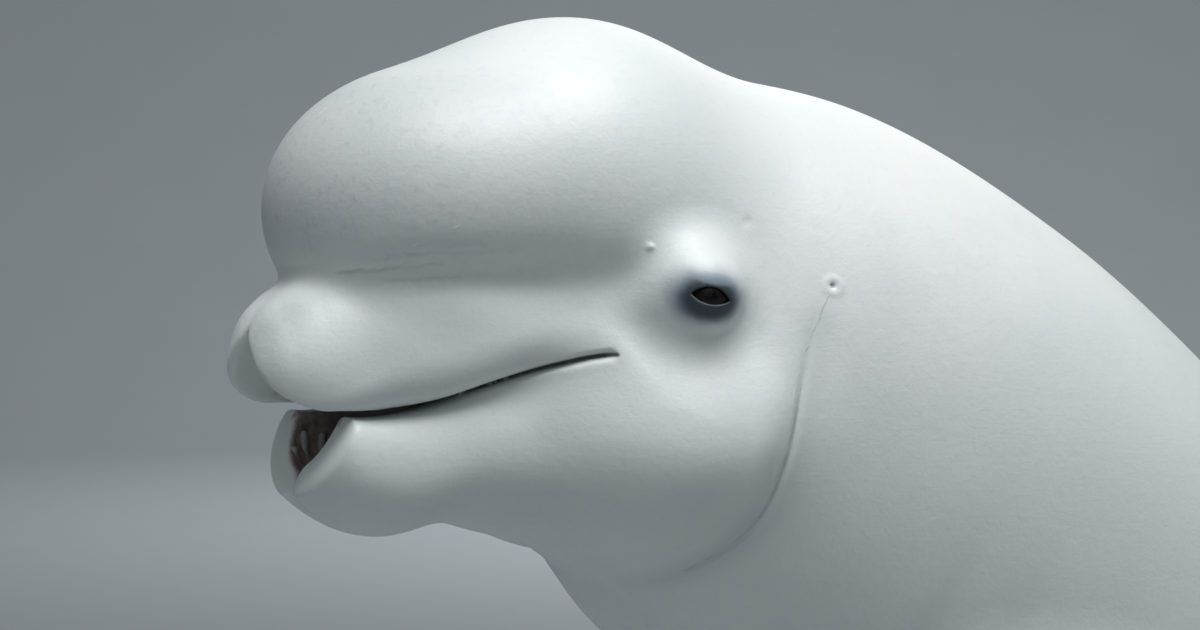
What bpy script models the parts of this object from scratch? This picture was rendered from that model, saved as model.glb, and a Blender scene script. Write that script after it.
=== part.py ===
# Beluga whale, adult, life size, as a still display model on a plain stand.
# Metres, +Z up. The snout points to -Y and the animal's left side is at +X.
# The whole body is one smooth solid, parted afterwards by thin flat cuts, so that the
# head, jaw, neck, trunk, tail, flukes and flippers are pieces that meet face to face.
# Body shapes are written with the snout at y = 0 and the level of the eyes near z = 0,
# and the finished pieces are moved by SNOUT_PLACE to stand over the base.

import math

import bmesh
import bpy
import numpy as np
from mathutils import Matrix, Vector

# Place of the snout's frame in the model's frame
SNOUT_PLACE = (0.0, -1.909, 1.415)

# Gap between touching pieces
GAP = 0.0003

# Trunk seen from the side: distance behind the snout, height of the back, height of the
# belly, half width. The head is held level, and the body slopes away below it.
TRUNK_STATIONS = [
    (0.10, 0.080, -0.020, 0.030),
    (0.16, 0.140, -0.060, 0.070),
    (0.22, 0.175, -0.127, 0.118),
    (0.28, 0.187, -0.230, 0.160),
    (0.36, 0.184, -0.296, 0.200),
    (0.45, 0.171, -0.372, 0.238),
    (0.60, 0.100, -0.495, 0.288),
    (0.80, -0.053, -0.655, 0.330),
    (1.00, -0.172, -0.805, 0.357),
    (1.30, -0.305, -0.985, 0.380),
    (1.60, -0.403, -1.110, 0.380),
    (2.00, -0.505, -1.185, 0.350),
    (2.40, -0.592, -1.165, 0.280),
    (2.80, -0.675, -1.085, 0.195),
    (3.10, -0.733, -1.005, 0.130),
    (3.38, -0.770, -0.935, 0.080),
    (3.60, -0.795, -0.875, 0.052),
    (3.72, -0.820, -0.845, 0.040),
]
TRUNK_SQUARENESS = 2.15

# Low ridge along the back, where other whales have a fin
RIDGE_HEIGHT = 0.016
RIDGE_HALF_WIDTH = 0.016
RIDGE_START = (1.55, 1.85)
RIDGE_END = (2.20, 2.60)

# Melon and crown: centre and half sizes
MELON_FRONT = ((0.0, 0.118, 0.074), (0.116, 0.100, 0.094))
MELON_BACK = ((0.0, 0.175, 0.086), (0.136, 0.115, 0.098))
MELON_BACK_PITCH = 18.0
CROWN = ((0.0, 0.234, 0.086), (0.153, 0.118, 0.131))

# Upper lip band: distance behind the snout, top, hidden bottom, half width
LIP_STATIONS = [
    (-0.003, -0.024, -0.036, 0.004),
    (0.004, -0.006, -0.056, 0.030),
    (0.016, 0.011, -0.075, 0.047),
    (0.035, 0.024, -0.092, 0.063),
    (0.060, 0.033, -0.102, 0.078),
    (0.100, 0.037, -0.102, 0.097),
    (0.150, 0.027, -0.092, 0.118),
    (0.200, 0.012, -0.082, 0.137),
    (0.235, 0.004, -0.075, 0.143),
]
LIP_SQUARENESS = 2.8
LIP_LOBE = ((0.027, 0.035, -0.034), (0.036, 0.038, 0.034))
LIP_LOWER_ROUNDING = (0.016, 0.036)
LIP_BLEND = (0.014, 0.034)

# Notch between the two lobes of the lip: a wedge that opens downwards
NOTCH_TOP = -0.012
NOTCH_FLARE = 0.9
NOTCH_BACK = 0.050
NOTCH_ROUNDING = 0.008

# Valley between the lip and the melon: distance behind the snout, height
VALLEY = [(0.03, 0.026), (0.10, 0.027), (0.15, 0.027), (0.20, 0.027), (0.28, 0.034)]
VALLEY_DEPTH = 0.007
VALLEY_HALF_WIDTH = 0.016

# Mouth line from the front of the lips to behind the corner: distance, height
MOUTH_LINE = [(-0.02, -0.062), (0.03, -0.063), (0.06, -0.066), (0.10, -0.061),
              (0.14, -0.047), (0.17, -0.035), (0.21, -0.026), (0.30, -0.028)]
MOUTH_CORNER_FADE = (0.185, 0.230)
MOUTH_OPEN_FROM = 0.052
MOUTH_OPEN_SLOPE = 2.40
MOUTH_FLOOR = ((0.0, 0.075, -0.070), (0.044, 0.050, 0.050))

# Lower jaw: distance behind the snout, underside, half width
JAW_STATIONS = [
    (0.014, -0.108, 0.020),
    (0.022, -0.118, 0.040),
    (0.032, -0.127, 0.056),
    (0.046, -0.138, 0.072),
    (0.065, -0.149, 0.077),
    (0.090, -0.154, 0.083),
    (0.130, -0.147, 0.096),
    (0.170, -0.154, 0.116),
    (0.210, -0.160, 0.138),
    (0.250, -0.164, 0.163),
    (0.285, -0.166, 0.182),
    (0.310, -0.160, 0.189),
]
JAW_SQUARENESS = 2.2
JAW_UPPER_ROUNDING = 0.010
JAW_LIP_NOTCH = (0.010, 0.008)
CHEEK_RISE = 0.020

# Cheek, and the fold behind it that parts the jaw from the neck: height, distance
CHEEK_FOLD = [(-0.200, 0.262), (-0.174, 0.281), (-0.145, 0.301), (-0.100, 0.312),
              (-0.060, 0.320), (-0.020, 0.331), (0.020, 0.342)]
FOLD_ROUNDING = 0.022
CHEEK_SWELL = 0.008
CHEEK = ((0.055, 0.270, -0.080), (0.130, 0.100, 0.078))
CHEEK_BLEND = 0.045

# Eyes
EYE_PLACE = (0.258, 0.0135)
EYE_RADIUS = 0.019
EYE_OPENING = 0.024
EYE_MOUND = ((0.150, 0.258, 0.018), (0.037, 0.032, 0.032))
EYE_MOUND_BLEND = 0.024

# Peg teeth that show in the front of the lower jaw
TOOTH_ROW = [(0.026, 0.045), (0.034, 0.054), (0.037, 0.067)]
TOOTH_ROOT_HEIGHT = -0.114
TOOTH_LENGTH = 0.035
TOOTH_RADII = (0.0048, 0.0030)

# Flippers: root, direction of the span and of the leading edge
FLIPPER_ROOT = (0.240, 0.560, -0.315)
FLIPPER_SPAN_DIRECTION = (0.66, 0.40, -0.64)
FLIPPER_LEADING_DIRECTION = (0.15, -0.90, -0.40)
FLIPPER_PADDLE = ((0.315, -0.015), (0.205, 0.130))
FLIPPER_ARM_RADIUS = 0.088
FLIPPER_HALF_THICKNESS = (0.030, 0.016)
FLIPPER_CURL = 0.30

# Flukes
FLUKE_HALF_SPAN = 0.54
FLUKE_FRONT = 3.42
FLUKE_SWEEP = 0.34
FLUKE_NOTCH = 3.725
FLUKE_BACK_BULGE = 0.095
FLUKE_HEIGHT = -0.822
FLUKE_HALF_THICKNESS = (0.043, 0.013)
BLADE_EDGE = 0.0045

# Stand
BASE_SIZE = (0.80, 1.90, 0.030)
BASE_CENTRE_Y = -0.285
BASE_CORNER_RADIUS = 0.09
ROD_RADIUS = 0.028
ROD_PLACES = {"stand_rod_front": -0.805, "stand_rod_rear": 0.245}
ROD_DEPTH_IN_BODY = 0.070
FLANGE_RADIUS = 0.075
FLANGE_HEIGHT = 0.014
ROD_SIDES = 24
STAND_EDGE = 0.004

# Triangles of the smooth body before it is parted
BODY_TRIANGLES = 4440

# Flat cuts: a point on the cut and the slope of the cut, as distance per height
NECK_CUT = (0.330, -0.06, 0.30)
SHOULDER_CUT = (0.470, -0.13, 0.62)
TRUNK_CUTS = [(1.12, -0.55, 0.50), (1.90, -0.83, 0.25), (2.75, -0.87, 0.08), (3.37, -0.85, 0.0)]
MELON_CUT = (0.0, 0.030, 0.30)
FLIPPER_CUT_ALONG_SPAN = 0.08
FLIPPER_CUT_FACING = (0.76, -0.35, -0.55)
FLIPPER_CUT_SIZE = (0.36, 0.17)


def soft_min(a, b, width):
    """Union of two distance fields with a rounded joint."""
    mix = np.clip(0.5 + 0.5 * (b - a) / width, 0.0, 1.0)
    return b + (a - b) * mix - width * mix * (1.0 - mix)


def soft_max(a, b, width):
    """Overlap of two distance fields with a rounded edge."""
    return -soft_min(-a, -b, width)


def ease(low, high, value):
    """Smooth step from 0 at low to 1 at high."""
    t = np.clip((value - low) / (high - low), 0.0, 1.0)
    return t * t * (3.0 - 2.0 * t)


def curve_through(stations, value, column=1):
    """Smooth curve through stations, which doesn't swing past them."""
    at = np.array([row[0] for row in stations])
    height = np.array([row[column] for row in stations])
    step = np.diff(at)
    slope = np.diff(height) / step
    tangent = np.empty_like(height)
    tangent[0] = slope[0]
    tangent[-1] = slope[-1]
    middle = (slope[:-1] * step[1:] + slope[1:] * step[:-1]) / (step[1:] + step[:-1])
    tangent[1:-1] = np.where(slope[:-1] * slope[1:] > 0.0, middle, 0.0)
    value = np.clip(value, at[0], at[-1])
    i = np.clip(np.searchsorted(at, value) - 1, 0, len(step) - 1)
    u = (value - at[i]) / step[i]
    u2 = u * u
    u3 = u2 * u
    return ((2 * u3 - 3 * u2 + 1) * height[i] + (u3 - 2 * u2 + u) * step[i] * tangent[i]
            + (3 * u2 - 2 * u3) * height[i + 1] + (u3 - u2) * step[i] * tangent[i + 1])


def ellipsoid(x, y, z, centre, half, pitch=0.0):
    """Distance to an ellipsoid, tilted about the X axis."""
    dx = x - centre[0]
    dy = y - centre[1]
    dz = z - centre[2]
    c = math.cos(math.radians(pitch))
    s = math.sin(math.radians(pitch))
    dy, dz = dy * c + dz * s, dz * c - dy * s
    k0 = np.sqrt((dx / half[0]) ** 2 + (dy / half[1]) ** 2 + (dz / half[2]) ** 2)
    k1 = np.sqrt((dx / half[0] ** 2) ** 2 + (dy / half[1] ** 2) ** 2 + (dz / half[2] ** 2) ** 2)
    return k0 * (k0 - 1.0) / np.maximum(k1, 1e-6)


def rounded_section(x, z, half_width, half_height, squareness):
    """Distance to the outline of a cross-section, between an ellipse and a box."""
    ux = np.abs(x) / half_width
    uz = np.abs(z) / half_height
    r = (ux ** squareness + uz ** squareness) ** (1.0 / squareness)
    across = ux ** (squareness - 1.0) / half_width
    upward = uz ** (squareness - 1.0) / half_height
    steepness = np.sqrt(across ** 2 + upward ** 2) / np.maximum(r, 1e-6) ** (squareness - 1.0)
    return (r - 1.0) / np.maximum(steepness, 1e-4)


def trunk_field(x, y, z):
    top = curve_through(TRUNK_STATIONS, y, 1)
    bottom = curve_through(TRUNK_STATIONS, y, 2)
    half_width = curve_through(TRUNK_STATIONS, y, 3)
    middle = (top + bottom) / 2.0
    d = rounded_section(x, z - middle, half_width, (top - bottom) / 2.0, TRUNK_SQUARENESS)
    along_back = ease(*RIDGE_START, y) * (1.0 - ease(*RIDGE_END, y))
    d = d - RIDGE_HEIGHT * np.exp(-(x / RIDGE_HALF_WIDTH) ** 2) * along_back * ease(0.0, 0.1, z - middle)
    d = soft_max(d, TRUNK_STATIONS[0][0] - y, 0.05)
    return soft_max(d, y - TRUNK_STATIONS[-1][0], 0.03)


def lip_field(x, y, z):
    top = curve_through(LIP_STATIONS, y, 1)
    bottom = curve_through(LIP_STATIONS, y, 2)
    half_width = curve_through(LIP_STATIONS, y, 3)
    d = rounded_section(x, z - (top + bottom) / 2.0, half_width, (top - bottom) / 2.0, LIP_SQUARENESS)
    d = soft_max(d, LIP_STATIONS[0][0] - y, 0.01)
    d = soft_max(d, y - LIP_STATIONS[-1][0], 0.05)
    front, back = LIP_LOWER_ROUNDING
    rounding = front + (back - front) * ease(0.03, 0.09, y)
    rounding = 0.005 + (rounding - 0.005) * (1.0 - ease(*MOUTH_CORNER_FADE, y))
    d = soft_max(d, curve_through(MOUTH_LINE, y) - z, rounding)
    d = soft_min(d, ellipsoid(x, y, z, *LIP_LOBE), 0.03)
    below = NOTCH_TOP - z
    notch = np.maximum(x - 0.001 - below * NOTCH_FLARE, y - NOTCH_BACK - below * 0.2)
    return soft_max(d, -np.maximum(notch, -below), NOTCH_ROUNDING)


def upper_head_field(x, y, z):
    d = ellipsoid(x, y, z, *MELON_FRONT)
    d = soft_min(d, ellipsoid(x, y, z, *MELON_BACK, pitch=MELON_BACK_PITCH), 0.04)
    d = soft_min(d, ellipsoid(x, y, z, *CROWN), 0.04)
    front, back = LIP_BLEND
    d = soft_min(d, lip_field(x, y, z), front + (back - front) * ease(0.03, 0.13, y))
    above = (z - curve_through(VALLEY, y)) / VALLEY_HALF_WIDTH
    along = ease(0.04, 0.10, y) * (1.0 - ease(0.20, 0.28, y)) * ease(0.03, 0.07, x)
    d = d + VALLEY_DEPTH * np.exp(-above ** 2) * along
    return soft_min(d, ellipsoid(x, y, z, *CHEEK), CHEEK_BLEND)


def jaw_field(x, y, z):
    mouth = curve_through(MOUTH_LINE, y)
    top = mouth + 0.022 + CHEEK_RISE * ease(0.19, 0.28, y)
    bottom = curve_through(JAW_STATIONS, y, 1)
    half_width = curve_through(JAW_STATIONS, y, 2)
    d = rounded_section(x, z - (top + bottom) / 2.0, half_width, (top - bottom) / 2.0, JAW_SQUARENESS)
    d = soft_max(d, JAW_STATIONS[0][0] - y, 0.012)
    d = soft_max(d, y - curve_through(CHEEK_FOLD, z), FOLD_ROUNDING)
    opening = np.maximum(MOUTH_OPEN_FROM - y, 0.0) * MOUTH_OPEN_SLOPE
    rounding = 0.005 + (JAW_UPPER_ROUNDING - 0.005) * (1.0 - ease(*MOUTH_CORNER_FADE, y))
    d = soft_max(d, z - mouth + opening - CHEEK_RISE * ease(0.20, 0.28, y), rounding)
    d = soft_max(d, -ellipsoid(x, y, z, *MOUTH_FLOOR), 0.008)
    depth, half_width = JAW_LIP_NOTCH
    return d + depth * np.exp(-(x / half_width) ** 2) * (1.0 - ease(0.03, 0.06, y)) * ease(-0.140, -0.125, z)


def blade_field(plan, across, half_thickness, rounding):
    """Thin blade: its plan as a distance, and how far a point lies above its middle."""
    inward = np.clip(-plan / rounding, 0.0, 1.0)
    swell = np.sqrt(np.clip(1.0 - (1.0 - inward) ** 2, 0.0, 1.0))
    half = BLADE_EDGE + (half_thickness - BLADE_EDGE) * swell
    outside = np.sqrt(np.maximum(plan, 0.0) ** 2 + across ** 2) - BLADE_EDGE
    return np.where(plan > 0.0, outside, np.maximum((np.abs(across) - half) * 0.9, -0.05))


def flipper_axes():
    span = Vector(FLIPPER_SPAN_DIRECTION).normalized()
    lead = Vector(FLIPPER_LEADING_DIRECTION)
    lead = (lead - span * lead.dot(span)).normalized()
    return span, lead, span.cross(lead)


def flipper_field(x, y, z):
    span, lead, face = flipper_axes()
    px = x - FLIPPER_ROOT[0]
    py = y - FLIPPER_ROOT[1]
    pz = z - FLIPPER_ROOT[2]
    s = px * span[0] + py * span[1] + pz * span[2]
    c = px * lead[0] + py * lead[1] + pz * lead[2]
    n = px * face[0] + py * face[1] + pz * face[2]
    n = n - FLIPPER_CURL * np.clip(s - 0.15, 0.0, 1.0) ** 2
    centre, half = FLIPPER_PADDLE
    plan = ellipsoid(s, c, 0.0, (centre[0], centre[1], 0.0), (half[0], half[1], 1.0))
    reach = np.clip((s + 0.05) / 0.25, 0.0, 1.0)
    arm = np.sqrt((s + 0.05 - 0.25 * reach) ** 2 + (c - 0.02) ** 2) - FLIPPER_ARM_RADIUS
    plan = soft_min(plan, arm, 0.06)
    thick, thin = FLIPPER_HALF_THICKNESS
    d = blade_field(plan, n, thin + (thick - thin) * (1.0 - ease(0.1, 0.5, s)), 0.09)
    return soft_min(d, ellipsoid(s, c, n, (0.0, 0.01, 0.0), (0.13, 0.08, 0.05)), 0.03)


def fluke_field(x, y, z):
    u = np.clip(x / FLUKE_HALF_SPAN, 0.0, 1.2)
    front = FLUKE_FRONT + FLUKE_SWEEP * u ** 1.2 - 0.05 * np.exp(-(x / 0.09) ** 2)
    back = FLUKE_NOTCH + FLUKE_BACK_BULGE * np.sin(np.pi * np.clip(u / 0.8, 0.0, 1.25))
    plan = soft_max((front - y) * 0.86, (y - back) * 0.93, 0.05)
    plan = soft_max(plan, x - FLUKE_HALF_SPAN + 0.01, 0.05)
    middle = FLUKE_HEIGHT - 0.06 * x ** 2 + 0.02 * (y - 3.6)
    thick, thin = FLUKE_HALF_THICKNESS
    half = thin + (thick - thin) * (1.0 - ease(0.0, 0.22, x))
    return blade_field(plan, z - middle, half, 0.085)


def cheek_fold(d, y, z):
    """Swell of the cheek in front of the fold that parts the jaw from the neck."""
    ahead = curve_through(CHEEK_FOLD, z) - y
    strength = ease(-0.02, -0.11, z) * ease(-0.235, -0.19, z)
    return d - CHEEK_SWELL * strength * ease(0.0, 0.035, ahead) * (1.0 - ease(0.05, 0.17, ahead))


def body_field(x, y, z):
    """Distance to the skin of the whole animal, the same on both sides."""
    x = np.sqrt(x * x + 0.002 ** 2)
    d = trunk_field(x, y, z)
    d = soft_min(d, upper_head_field(x, y, z), 0.06)
    d = soft_min(d, ellipsoid(x, y, z, *EYE_MOUND), EYE_MOUND_BLEND)
    merge = ease(0.09, 0.27, y) * ease(0.0, 0.09, curve_through(CHEEK_FOLD, z) - y)
    d = soft_min(d, jaw_field(x, y, z), 0.004 + 0.046 * merge)
    d = cheek_fold(d, y, z)
    d = soft_min(d, flipper_field(x, y, z), 0.05)
    return soft_min(d, fluke_field(x, y, z), 0.035)


def graded_lines(spans):
    """Grid lines whose step changes from one span to the next."""
    lines = [spans[0][0]]
    for start, end, step in spans:
        count = max(1, round((end - start) / step))
        lines.extend(start + (end - start) * (k + 1) / count for k in range(count))
    return np.array(lines)


def clear_touching_corners(values):
    """Fill grid faces whose corners are solid on one diagonal only, where a mesh would pinch."""
    full = [slice(None)] * 3
    for _ in range(20):
        found = 0
        for a, b in ((0, 1), (1, 2), (0, 2)):
            corners = []
            for da, db in ((0, 0), (0, 1), (1, 1), (1, 0)):
                window = list(full)
                window[a] = slice(da, values.shape[a] - 1 + da)
                window[b] = slice(db, values.shape[b] - 1 + db)
                corners.append(values[tuple(window)])
            solid = [corner < 0.0 for corner in corners]
            crossed = (solid[0] == solid[2]) & (solid[1] == solid[3]) & (solid[0] != solid[1])
            found += int(crossed.sum())
            for k in range(4):
                corner = corners[k]
                nearer = crossed & (corner > 0.0) & (corner <= corners[(k + 2) % 4])
                corner[nearer] = -1e-4
        if not found:
            break
    return values


def sample_grid():
    xs = graded_lines([(0.0, 0.24, 0.012), (0.24, 0.60, 0.009)])
    ys = graded_lines([(-0.03, 0.45, 0.009), (0.45, 1.00, 0.011), (1.00, 3.38, 0.026), (3.38, 3.88, 0.012)])
    zs = graded_lines([(-1.22, -0.87, 0.020), (-0.87, -0.79, 0.005), (-0.79, -0.72, 0.014),
                       (-0.72, -0.24, 0.010), (-0.24, 0.25, 0.009)])
    half = np.empty((len(xs), len(ys), len(zs)))
    for i, x in enumerate(xs):
        half[i] = body_field(x, ys[:, None], zs[None, :])
    half = clear_touching_corners(half)
    values = np.concatenate([half[:0:-1], half])
    return np.concatenate([-xs[:0:-1], xs]), ys, zs, values


def surface_points(xs, ys, zs, values):
    """One point in each grid cell that the surface crosses, and the quads that join them."""
    shape = tuple(n - 1 for n in values.shape)
    inside = values < 0.0
    offsets = [(i, j, k) for i in (0, 1) for j in (0, 1) for k in (0, 1)]
    count = np.zeros(shape, dtype=np.int8)
    for i, j, k in offsets:
        count += inside[i:i + shape[0], j:j + shape[1], k:k + shape[2]]
    cells = np.argwhere((count > 0) & (count < 8))
    number = -np.ones(shape, dtype=np.int64)
    number[tuple(cells.T)] = np.arange(len(cells))
    lines = (xs, ys, zs)
    total = np.zeros((len(cells), 3))
    crossings = np.zeros(len(cells))
    for axis in range(3):
        for start in offsets:
            if start[axis]:
                continue
            end = list(start)
            end[axis] = 1
            low = cells + np.array(start)
            high = cells + np.array(end)
            v0 = values[tuple(low.T)]
            v1 = values[tuple(high.T)]
            crossed = (v0 < 0.0) != (v1 < 0.0)
            share = np.where(crossed, v0 / np.where(crossed, v0 - v1, 1.0), 0.0)
            for a in range(3):
                p0 = lines[a][low[:, a]]
                p1 = lines[a][high[:, a]]
                total[:, a] += np.where(crossed, p0 + share * (p1 - p0), 0.0)
            crossings += crossed
    points = total / crossings[:, None]
    quads = []
    for axis in range(3):
        b = (axis + 1) % 3
        c = (axis + 2) % 3
        near = [slice(None)] * 3
        far = [slice(None)] * 3
        near[axis] = slice(0, -1)
        far[axis] = slice(1, None)
        change = inside[tuple(near)].astype(np.int8) - inside[tuple(far)].astype(np.int8)
        for sign in (1, -1):
            edges = np.argwhere(change == sign)
            edges = edges[(edges[:, b] > 0) & (edges[:, c] > 0)]
            edges = edges[(edges[:, b] < shape[b]) & (edges[:, c] < shape[c])]
            ring = []
            for db, dc in ((1, 1), (0, 1), (0, 0), (1, 0)):
                cell = edges.copy()
                cell[:, b] -= db
                cell[:, c] -= dc
                ring.append(number[tuple(cell.T)])
            quad = np.stack(ring, axis=1)
            quads.append(quad if sign > 0 else quad[:, ::-1])
    return points, np.concatenate(quads)


def settle_on_surface(points):
    """Move each point along the field's slope onto the surface."""
    small = 0.0005
    for _ in range(3):
        x, y, z = points.T
        d = body_field(x, y, z)
        slope = np.stack([body_field(x + small, y, z) - body_field(x - small, y, z),
                          body_field(x, y + small, z) - body_field(x, y - small, z),
                          body_field(x, y, z + small) - body_field(x, y, z - small)], axis=1)
        slope /= 2.0 * small
        length = np.maximum((slope ** 2).sum(axis=1), 0.2)
        move = np.clip(d / length, -0.006, 0.006)[:, None] * slope
        points = points - move
    return points


def new_object(name, mesh):
    thing = bpy.data.objects.new(name, mesh)
    bpy.context.scene.collection.objects.link(thing)
    return thing


def material(name, colour, roughness, metallic=0.0):
    finish = bpy.data.materials.new(name)
    finish.use_nodes = True
    shader = finish.node_tree.nodes["Principled BSDF"]
    shader.inputs["Base Color"].default_value = (*colour, 1.0)
    shader.inputs["Roughness"].default_value = roughness
    shader.inputs["Metallic"].default_value = metallic
    return finish


def evaluated_mesh(thing):
    bpy.context.view_layer.update()
    graph = bpy.context.evaluated_depsgraph_get()
    return bpy.data.meshes.new_from_object(thing.evaluated_get(graph))


def make_whole_body():
    points, quads = surface_points(*sample_grid())
    points = settle_on_surface(points)
    mesh = bpy.data.meshes.new("whole_body")
    mesh.from_pydata(points.tolist(), [], quads.tolist())
    mesh.update()
    body = new_object("whole_body", mesh)
    fewer = body.modifiers.new("fewer_faces", "DECIMATE")
    fewer.decimate_type = "COLLAPSE"
    fewer.ratio = BODY_TRIANGLES / (2.0 * len(quads))
    fewer.use_collapse_triangulate = True
    lean = evaluated_mesh(body)
    bpy.data.objects.remove(body)
    return new_object("whole_body", lean)


def box_cutter(name, size, place):
    """Thin box, placed by a matrix."""
    shape = bmesh.new()
    bmesh.ops.create_cube(shape, size=1.0, matrix=place @ Matrix.Diagonal((*size, 1.0)))
    mesh = bpy.data.meshes.new(name)
    shape.to_mesh(mesh)
    shape.free()
    return new_object(name, mesh)


def cross_cut(name, cut, width=1.1, height=1.4):
    """Cut across the body, leaning by its slope."""
    y, z, slope = cut
    place = Matrix.Translation((0.0, y, z)) @ Matrix.Rotation(-math.atan(slope), 4, "X")
    return box_cutter(name, (width, GAP, height), place)


def flipper_cut(name, side):
    span, lead, face = flipper_axes()
    facing = Vector(FLIPPER_CUT_FACING).normalized()
    along = (lead - facing * lead.dot(facing)).normalized()
    middle = Vector(FLIPPER_ROOT) + span * FLIPPER_CUT_ALONG_SPAN
    turn = Matrix((facing, along, facing.cross(along))).transposed().to_4x4()
    place = Matrix.Diagonal((side, 1.0, 1.0, 1.0)) @ Matrix.Translation(middle) @ turn
    cutter = box_cutter(name, (GAP, *FLIPPER_CUT_SIZE), place)
    if side < 0:
        cutter.data.flip_normals()
    return cutter


def melon_cut(name):
    """Cut that rises from the crease above the lips back to the neck cut."""
    start, height, rise = MELON_CUT
    slope = math.atan(rise)
    behind = NECK_CUT[0] + NECK_CUT[2] * (height - rise * start - NECK_CUT[1])
    behind /= 1.0 - NECK_CUT[2] * rise
    length = (behind - start) / math.cos(slope)
    ahead = 0.1
    place = Matrix.Translation((0.0, start, height)) @ Matrix.Rotation(slope, 4, "X")
    place = place @ Matrix.Translation((0.0, (length - ahead) / 2.0, 0.0))
    return box_cutter(name, (0.5, length + ahead, GAP), place)


def mouth_cut(name):
    """Thin sheet along the mouth line, from the open front back into the cheek."""
    behind = NECK_CUT[0] + NECK_CUT[2] * (MOUTH_LINE[-1][1] - NECK_CUT[1])
    distances = np.linspace(0.045, behind, 15)
    heights = curve_through(MOUTH_LINE, distances)
    opening = np.maximum(MOUTH_OPEN_FROM - distances, 0.0) * MOUTH_OPEN_SLOPE * 0.5
    upper = [(y, z + GAP / 2.0) for y, z in zip(distances, heights - opening)]
    lower = [(y, z - GAP / 2.0) for y, z in zip(distances, heights - opening)]
    outline = upper + lower[::-1]
    shape = bmesh.new()
    near = [shape.verts.new((-0.30, y, z)) for y, z in outline]
    far = [shape.verts.new((0.30, y, z)) for y, z in outline]
    last = len(distances) - 1
    for k in range(len(outline)):
        n = (k + 1) % len(outline)
        shape.faces.new((near[k], near[n], far[n], far[k]))
    for k in range(last):
        a, b, c, d = k, k + 1, len(outline) - 2 - k, len(outline) - 1 - k
        shape.faces.new((near[a], near[d], near[c], near[b]))
        shape.faces.new((far[a], far[b], far[c], far[d]))
    bmesh.ops.recalc_face_normals(shape, faces=shape.faces)
    mesh = bpy.data.meshes.new(name)
    shape.to_mesh(mesh)
    shape.free()
    return new_object(name, mesh)


def ball(name, centre, radius, segments=16, rings=8):
    shape = bmesh.new()
    place = Matrix.Translation(centre) @ Matrix.Rotation(math.radians(90.0), 4, "Y")
    bmesh.ops.create_uvsphere(shape, u_segments=segments, v_segments=rings, radius=radius, matrix=place)
    mesh = bpy.data.meshes.new(name)
    shape.to_mesh(mesh)
    shape.free()
    return new_object(name, mesh)


def eye_centre(side):
    """The eyeball lies so deep that only a cap of it as wide as the opening shows."""
    y, z = EYE_PLACE
    xs = np.linspace(0.10, 0.25, 1501)
    skin = xs[np.argmin(np.abs(body_field(xs, y, z)))]
    depth = math.sqrt(EYE_RADIUS ** 2 - (EYE_OPENING / 2.0) ** 2)
    return Vector((side * (skin - depth), y, z))


def cone_peg(name, low, high, low_radius, high_radius, segments):
    axis = Vector(high) - Vector(low)
    place = Matrix.Translation((Vector(low) + Vector(high)) / 2.0)
    place = place @ axis.to_track_quat("Z", "Y").to_matrix().to_4x4()
    shape = bmesh.new()
    bmesh.ops.create_cone(shape, cap_ends=True, segments=segments, radius1=low_radius,
                          radius2=high_radius, depth=axis.length, matrix=place)
    mesh = bpy.data.meshes.new(name)
    shape.to_mesh(mesh)
    shape.free()
    return new_object(name, mesh)


def make_teeth():
    teeth = []
    for side in (-1.0, 1.0):
        for x, y in TOOTH_ROW:
            low = (side * x, y, TOOTH_ROOT_HEIGHT)
            high = (side * x, y, TOOTH_ROOT_HEIGHT + TOOTH_LENGTH)
            teeth.append(cone_peg("tooth", low, high, *TOOTH_RADII, 8))
    return teeth


def combine(body, tools, operation):
    """Apply exact Booleans with each tool in turn and remove the tools."""
    for tool in tools:
        step = body.modifiers.new(tool.name, "BOOLEAN")
        step.operation = operation
        step.solver = "EXACT"
        step.object = tool
        lean = evaluated_mesh(body)
        body.modifiers.clear()
        body.data = lean
        bpy.data.objects.remove(tool)


def to_snout(place):
    """A point of the model's frame in the snout's frame."""
    return Vector(place) - Vector(SNOUT_PLACE)


def rod_top(y):
    """Height of the rod's end, inside the belly."""
    snout_y = to_snout((0.0, y, 0.0)).y
    belly = float(curve_through(TRUNK_STATIONS, np.array([snout_y]), 2)[0])
    return belly + SNOUT_PLACE[2] + ROD_DEPTH_IN_BODY


def rod_hole(name, y):
    low = to_snout((0.0, y, 0.02))
    high = to_snout((0.0, y, rod_top(y) + GAP))
    return cone_peg(name, low, high, ROD_RADIUS + GAP, ROD_RADIUS + GAP, ROD_SIDES)


# A place near the middle of each piece of the body
PARTS = {
    "melon": (0.0, 0.10, 0.12),
    "head": (0.0, 0.20, 0.02),
    "lower_jaw": (0.0, 0.20, -0.10),
    "neck": (0.0, 0.45, -0.08),
    "trunk_front": (0.0, 0.85, -0.45),
    "trunk_middle": (0.0, 1.50, -0.75),
    "trunk_rear": (0.0, 2.25, -0.85),
    "tail_stock": (0.0, 3.05, -0.86),
    "fluke_left": (0.20, 3.62, -0.825),
    "fluke_right": (-0.20, 3.62, -0.825),
    "flipper_left": (0.43, 0.68, -0.50),
    "flipper_right": (-0.43, 0.68, -0.50),
}


def islands(shape):
    """Faces of a mesh grouped into the closed pieces they belong to."""
    waiting = set(shape.faces)
    groups = []
    while waiting:
        start = waiting.pop()
        group = [start]
        front = [start]
        while front:
            face = front.pop()
            for edge in face.edges:
                for other in edge.link_faces:
                    if other in waiting:
                        waiting.discard(other)
                        group.append(other)
                        front.append(other)
        groups.append(group)
    return groups


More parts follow.
